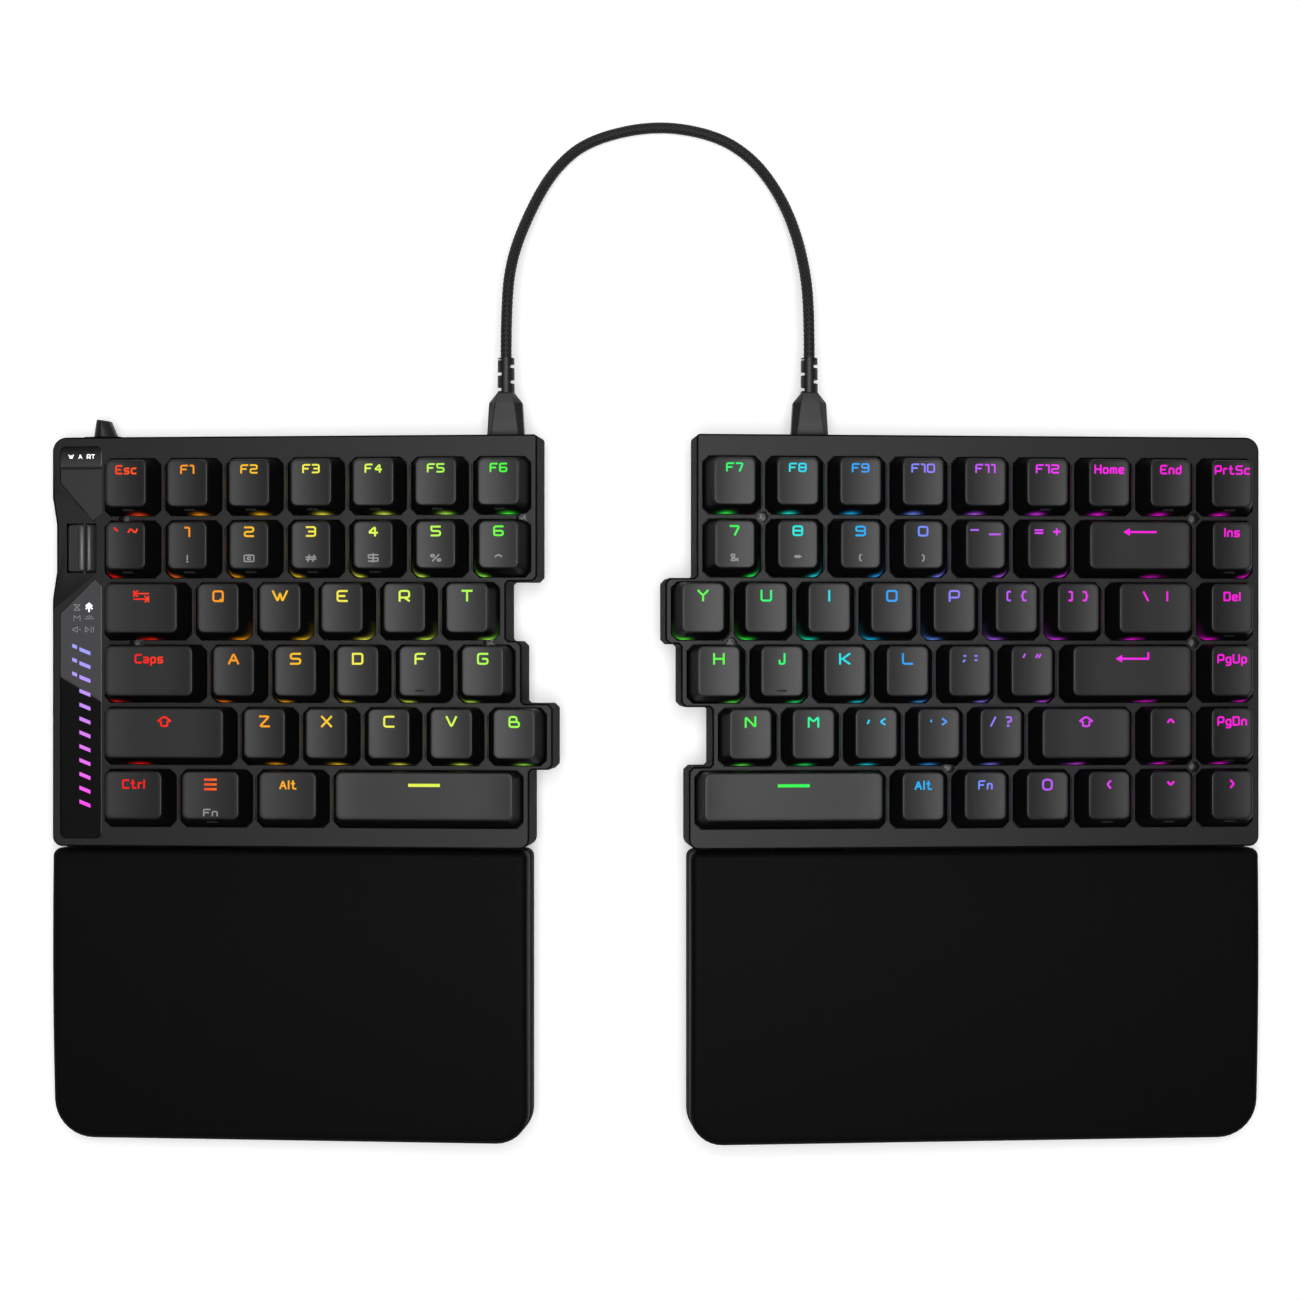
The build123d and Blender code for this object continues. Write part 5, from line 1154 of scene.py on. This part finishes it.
def build_palm_pads(finishes):
    """Soft pads: a crown of one large radius from rear to front, and a round shoulder.

    Height = crown(y) - shoulder drop, with crown(y) = top - (R - sqrt(R^2 - (y - y0)^2)).
    """
    crown_y = PALM_REAR - PALM_LENGTH * PALM_CROWN_SHARE
    steps = [(0.35, 0.0), (0.1, 1.0), (0.0, 3.0)]
    insets = [PALM_SHOULDER * (1 - cos(a)) for a in np.linspace(0, pi / 2, 8)]
    drops = [PALM_SHOULDER * (1 - sin(a)) for a in np.linspace(0, pi / 2, 8)]
    insets += [3.6, 6, 10, 16, 24, 32, 40, 44]
    drops += [0.0] * 8
    for half in HALVES:
        rings = []
        for inset, rise in steps:
            x, y = palm_ring(half, inset).T
            rings.append(points_at(x, y, PALM_LEVEL + rise))
        for inset, drop in zip(insets, drops):
            x, y = palm_ring(half, inset).T
            crown = PALM_TOP - (PALM_CROWN_RADIUS - np.sqrt(PALM_CROWN_RADIUS ** 2 - (y - crown_y) ** 2))
            rings.append(points_at(x, y, crown - drop))
        node = half + "_palm_pad"
        piece = deck_piece(node + "_cushion", half, [tube(rings)], node, finishes["silicone"], outward=True)
        piece.data.shade_smooth()
        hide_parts(node)


# Rigid pieces that keep the CAD shape with rounded edges
EASED_NODES = {
    "left_top_frame": 0.3, "right_top_frame": 0.3, "left_bottom_case": 0.45, "right_bottom_case": 0.45,
    "connection_slider": 0.15, "left_palm_base": 0.5, "right_palm_base": 0.5, "left_tenting_leg": 0.4,
    "right_tenting_leg": 0.4, "left_palm_leg": 0.4, "right_palm_leg": 0.4, "left_rubber_feet": 0.4,
    "right_rubber_feet": 0.4, "left_palm_feet": 0.4, "right_palm_feet": 0.4,
}


def build_housings(finishes):
    """Frames, cases, palm bases, legs and feet with rounded edges."""
    for node, edge in EASED_NODES.items():
        eased(node, edge, finish_of(node, finishes))


# Link cable: control points of its route in mm, between the two strain reliefs
CABLE_MIDDLE = [
    (-44.7, 160.5, 18.6),
    (-38.7, 177.8, 10.6),
    (-31.2, 191.6, 4.8),
    (-20.6, 200.6, 2.2),
    (-0.4, 205.2, 1.9),
    (18.4, 202.2, 1.9),
    (30.0, 195.0, 2.4),
    (37.9, 184.2, 5.2),
    (43.1, 171.6, 11.0),
    (46.2, 156.6, 18.0),
]
CABLE_LEFT_BEND_Y = 144.4
CABLE_RIGHT_BEND_Y = 143.1


def cable_line():
    """Points along the NURBS line of the route, as Blender gives them for a curve with no bevel."""
    left = to_world("left", (PORT_X["left"], CABLE_START, PLUG_LEVEL)) / MM
    right = to_world("right", (PORT_X["right"], CABLE_START, PLUG_LEVEL)) / MM
    route = [left, (left[0], CABLE_LEFT_BEND_Y, left[2]), *CABLE_MIDDLE,
             (right[0], CABLE_RIGHT_BEND_Y, right[2]), right]
    curve = bpy.data.curves.new("cable_line", "CURVE")
    curve.dimensions = "3D"
    spline = curve.splines.new("NURBS")
    spline.points.add(len(route) - 1)
    for point, place in zip(spline.points, route):
        point.co = (*[float(c) * MM for c in place], 1)
    spline.order_u = 3
    spline.use_endpoint_u = True
    spline.resolution_u = 24
    line = bpy.data.objects.new("cable_line", curve)
    bpy.context.scene.collection.objects.link(line)
    bpy.context.view_layer.update()
    mesh = bpy.data.meshes.new_from_object(line)
    path = np.empty(len(mesh.vertices) * 3)
    mesh.vertices.foreach_get("co", path)
    bpy.data.objects.remove(line)
    bpy.data.meshes.remove(mesh)
    return path.reshape(-1, 3)


def build_cable(finishes):
    """Braided link cable along its NURBS line.

    Radius = R - h + h |sin(n a / 2 + k s)| |sin(n a / 2 - k s)| with a round the tube and s along it: two
    families of strands that cross.
    """
    path = cable_line()
    reach = np.concatenate([[0], np.cumsum(np.linalg.norm(np.diff(path, axis=0), axis=1))])
    count, around, strands, wind = 1700, 48, 8, 2100.0
    s = np.linspace(0, reach[-1], count)
    centre = np.column_stack([np.interp(s, reach, path[:, k]) for k in range(3)])
    tangent = np.gradient(centre, axis=0)
    kernel = np.ones(31) / 31
    ends = np.vstack([np.repeat(tangent[:1], 15, 0), tangent, np.repeat(tangent[-1:], 15, 0)])
    tangent = np.column_stack([np.convolve(ends[:, k], kernel, "valid") for k in range(3)])
    tangent /= np.linalg.norm(tangent, axis=1)[:, None]
    side = np.cross(tangent, np.array([0, 0, 1.0]))
    side /= np.linalg.norm(side, axis=1)[:, None]
    up = np.cross(side, tangent)
    angle = full_turn(around)
    weave = np.abs(np.sin(strands / 2 * angle[None, :] + wind * s[:, None]))
    weave = weave * np.abs(np.sin(strands / 2 * angle[None, :] - wind * s[:, None]))
    radius = (CABLE_RADIUS - 0.15 + 0.15 * weave) * MM
    ring = side[:, None, :] * np.cos(angle)[None, :, None] + up[:, None, :] * np.sin(angle)[None, :, None]
    points, faces = tube(centre[:, None, :] + ring * radius[:, :, None])
    piece = make_piece("braided_cable", points, faces, body_of("link_cable"), "cable", finishes["braid"])
    piece.data.shade_smooth()
    # The weave number also sets the painted shade in the gaps of the sleeve.
    mark(piece, "weave", weave)
    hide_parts("link_cable")


# Stage

FRAME_PIXELS = 1300
AXIS_PIXEL_X = 655
CAMERA_FOCAL_PIXELS = 2658
CAMERA_PLACE = (-0.26, 40.05, 838.1)
SENSOR_WIDTH = 36.0


def white_floor():
    """Pale floor: matt for the lamps, with a white of its own for the camera and for reflections."""
    material, tree, shader = shader_of("pale_floor")
    path = add_node(tree, "LightPath").outputs
    seen = combined(tree, "MAXIMUM", path["Is Camera Ray"], path["Is Glossy Ray"])
    seen = combined(tree, "MAXIMUM", seen, path["Is Transmission Ray"])
    set_inputs(tree, shader, {
        "Base Color": colour_mix(tree, object_noise(tree, 40, 2.0), (0.78, 0.78, 0.78), (0.82, 0.82, 0.82)),
        "Emission Strength": map_range(tree, seen, 0, 1, 0, 0.35),
    }, {"Roughness": 0.9, "Emission Color": (1, 1, 1, 1)})
    return material


def room(look):
    """Plain studio: pale near the horizon and dim overhead, by the ray's own direction."""
    world = bpy.data.worlds.new("studio")
    bpy.context.scene.world = world
    world.use_nodes = True
    tree = world.node_tree
    ray = add_node(tree, "TexCoord").outputs["Generated"]
    height = add_node(tree, "SeparateXYZ", {"Vector": ray}).outputs["Z"]
    strength = map_range(tree, height, 0.0, 0.75, look.horizon_light, look.ceiling_light)
    set_inputs(tree, tree.nodes["Background"], {"Strength": strength}, {"Color": (1, 1, 1, 1)})


def softbox(name, place, turn, width, depth, power, lean=0.0):
    """Rectangular lamp that faces down, turned about Y and leant about X."""
    lamp = bpy.data.lights.new(name, "AREA")
    lamp.shape = "RECTANGLE"
    lamp.size, lamp.size_y = width, depth
    lamp.energy = power
    holder = bpy.data.objects.new(name, lamp)
    bpy.context.scene.collection.objects.link(holder)
    holder.location = place
    holder.rotation_euler = (lean, turn, 0)


def build_stage(finishes):
    """Floor, studio, lamps and a camera straight above."""
    scene = bpy.context.scene
    look = scene.keyboard_look
    scene.view_settings.view_transform = "Standard"
    room(look)
    mesh = bpy.data.meshes.new("floor")
    mesh.from_pydata([(-3, -3, 0), (3, -3, 0), (3, 3, 0), (-3, 3, 0)], [], [(0, 1, 2, 3)])
    mesh.materials.append(white_floor())
    floor = bpy.data.objects.new("floor", mesh)
    scene.collection.objects.link(floor)
    softbox("softbox", (0, 0.05, look.lamp_height), 0, look.lamp_width, look.lamp_depth, look.lamp_power)
    softbox("rear_light", (0, 1.3, 0.55), 0, 1.2, 0.25, look.rear_power, lean=radians(-70))
    lens = bpy.data.cameras.new("camera")
    lens.sensor_width = SENSOR_WIDTH
    lens.lens = CAMERA_FOCAL_PIXELS / FRAME_PIXELS * SENSOR_WIDTH
    lens.shift_x = (FRAME_PIXELS / 2 - AXIS_PIXEL_X) / FRAME_PIXELS
    lens.clip_start = 0.01
    camera = bpy.data.objects.new("camera", lens)
    scene.collection.objects.link(camera)
    camera.location = [c * MM for c in CAMERA_PLACE]
    scene.camera = camera


def colour_property(name, text, value):
    """A colour that the panel can show."""
    return bpy.props.FloatVectorProperty(name=name, description=text, subtype="COLOR", default=value)


def level_property(name, text, value, unit="NONE"):
    """A plain level or length, from zero up."""
    return bpy.props.FloatProperty(name=name, description=text, default=value, min=0, unit=unit)


class KeyboardLook(bpy.types.PropertyGroup):
    """Colours of the finishes, strengths of the backlight and levels of the studio."""

    cap_colour: colour_property("Caps", "Colour of the key caps", (0.0038, 0.0037, 0.0039))
    frame_colour: colour_property("Frame", "Colour of the top frames", (0.0066, 0.0062, 0.0064))
    silicone_colour: colour_property("Palm rests", "Colour of the soft pads", (0.0022, 0.0022, 0.0023))
    legend_strength: level_property("Legends", "Strength of the lit legends", 1.0)
    leak_strength: level_property("Light leaks", "Strength of the light below the caps", 0.8)
    horizon_light: level_property("Horizon", "Strength of the studio near the horizon", 0.3)
    ceiling_light: level_property("Ceiling", "Strength of the studio overhead", 0.05)
    lamp_power: level_property("Lamp power", "Power of the softbox in watts", 11.0)
    rear_power: level_property("Rear lamp power", "Power of the lamp behind the keyboard in watts", 3.0)
    lamp_width: level_property("Lamp width", "Width of the softbox", 0.36, "LENGTH")
    lamp_depth: level_property("Lamp depth", "Depth of the softbox", 0.5, "LENGTH")
    lamp_height: level_property("Lamp height", "Height of the softbox over the desk", 1.15, "LENGTH")


FINISHES = {}


def build_finishes(finishes):
    """Fills in the finishes and gives each CAD node its own."""
    finishes.update(make_finishes(bpy.context.scene.keyboard_look))
    dress_nodes(finishes)


# Operators in the order of their run: label, description and builders
STEPS = {
    "finishes": ("Finishes", "Makes the finishes and gives each CAD node its own", [build_finishes]),
    "housings": ("Housings", "Rounds the edges of the frames, cases, palm bases, legs and feet",
                 [build_housings]),
    "caps": ("Key caps", "Builds the key caps and the homing bars", [build_caps, build_homing_bars]),
    "legends": ("Legends and light", "Draws the legends and the light leaks", [build_legends, build_leaks]),
    "strip": ("Controls and screws", "Builds the control strip, its wheel, the mode lever and the screws",
              [build_strip, build_wheel, build_lever, build_screws]),
    "palm_pads": ("Palm pads", "Builds the soft palm pads", [build_palm_pads]),
    "cable": ("Link cable", "Builds the plugs, the strain reliefs and the braided cable",
              [build_plugs, build_cable]),
    "stage": ("Stage", "Sets the floor, the studio light and the camera", [build_stage]),
}


def step_operator(name, label, text, builders):
    """The operator of one step: it runs the step's builders on the finishes."""
    def execute(self, context):
        for build in builders:
            build(FINISHES)
        return {"FINISHED"}

    members = {"bl_idname": "keyboard." + name, "bl_label": label, "bl_description": text, "execute": execute}
    return type("KEYBOARD_OT_" + name, (bpy.types.Operator,), members)


class KEYBOARD_PT_surfaces(bpy.types.Panel):
    """Lists the steps that build the keyboard"""

    bl_label = "Split Keyboard"
    bl_idname = "KEYBOARD_PT_surfaces"
    bl_space_type = "VIEW_3D"
    bl_region_type = "UI"
    bl_category = "Keyboard"

    def draw(self, context):
        for name in STEPS:
            self.layout.operator("keyboard." + name)


CLASSES = (KeyboardLook, *[step_operator(name, *form) for name, form in STEPS.items()], KEYBOARD_PT_surfaces)


def register():
    for cls in CLASSES:
        bpy.utils.register_class(cls)
    bpy.types.Scene.keyboard_look = bpy.props.PointerProperty(type=KeyboardLook)


def unregister():
    del bpy.types.Scene.keyboard_look
    for cls in reversed(CLASSES):
        bpy.utils.unregister_class(cls)


def main():
    """Builds every piece."""
    register()
    for name in STEPS:
        getattr(bpy.ops.keyboard, name)()


if __name__ == "__main__":
    main()
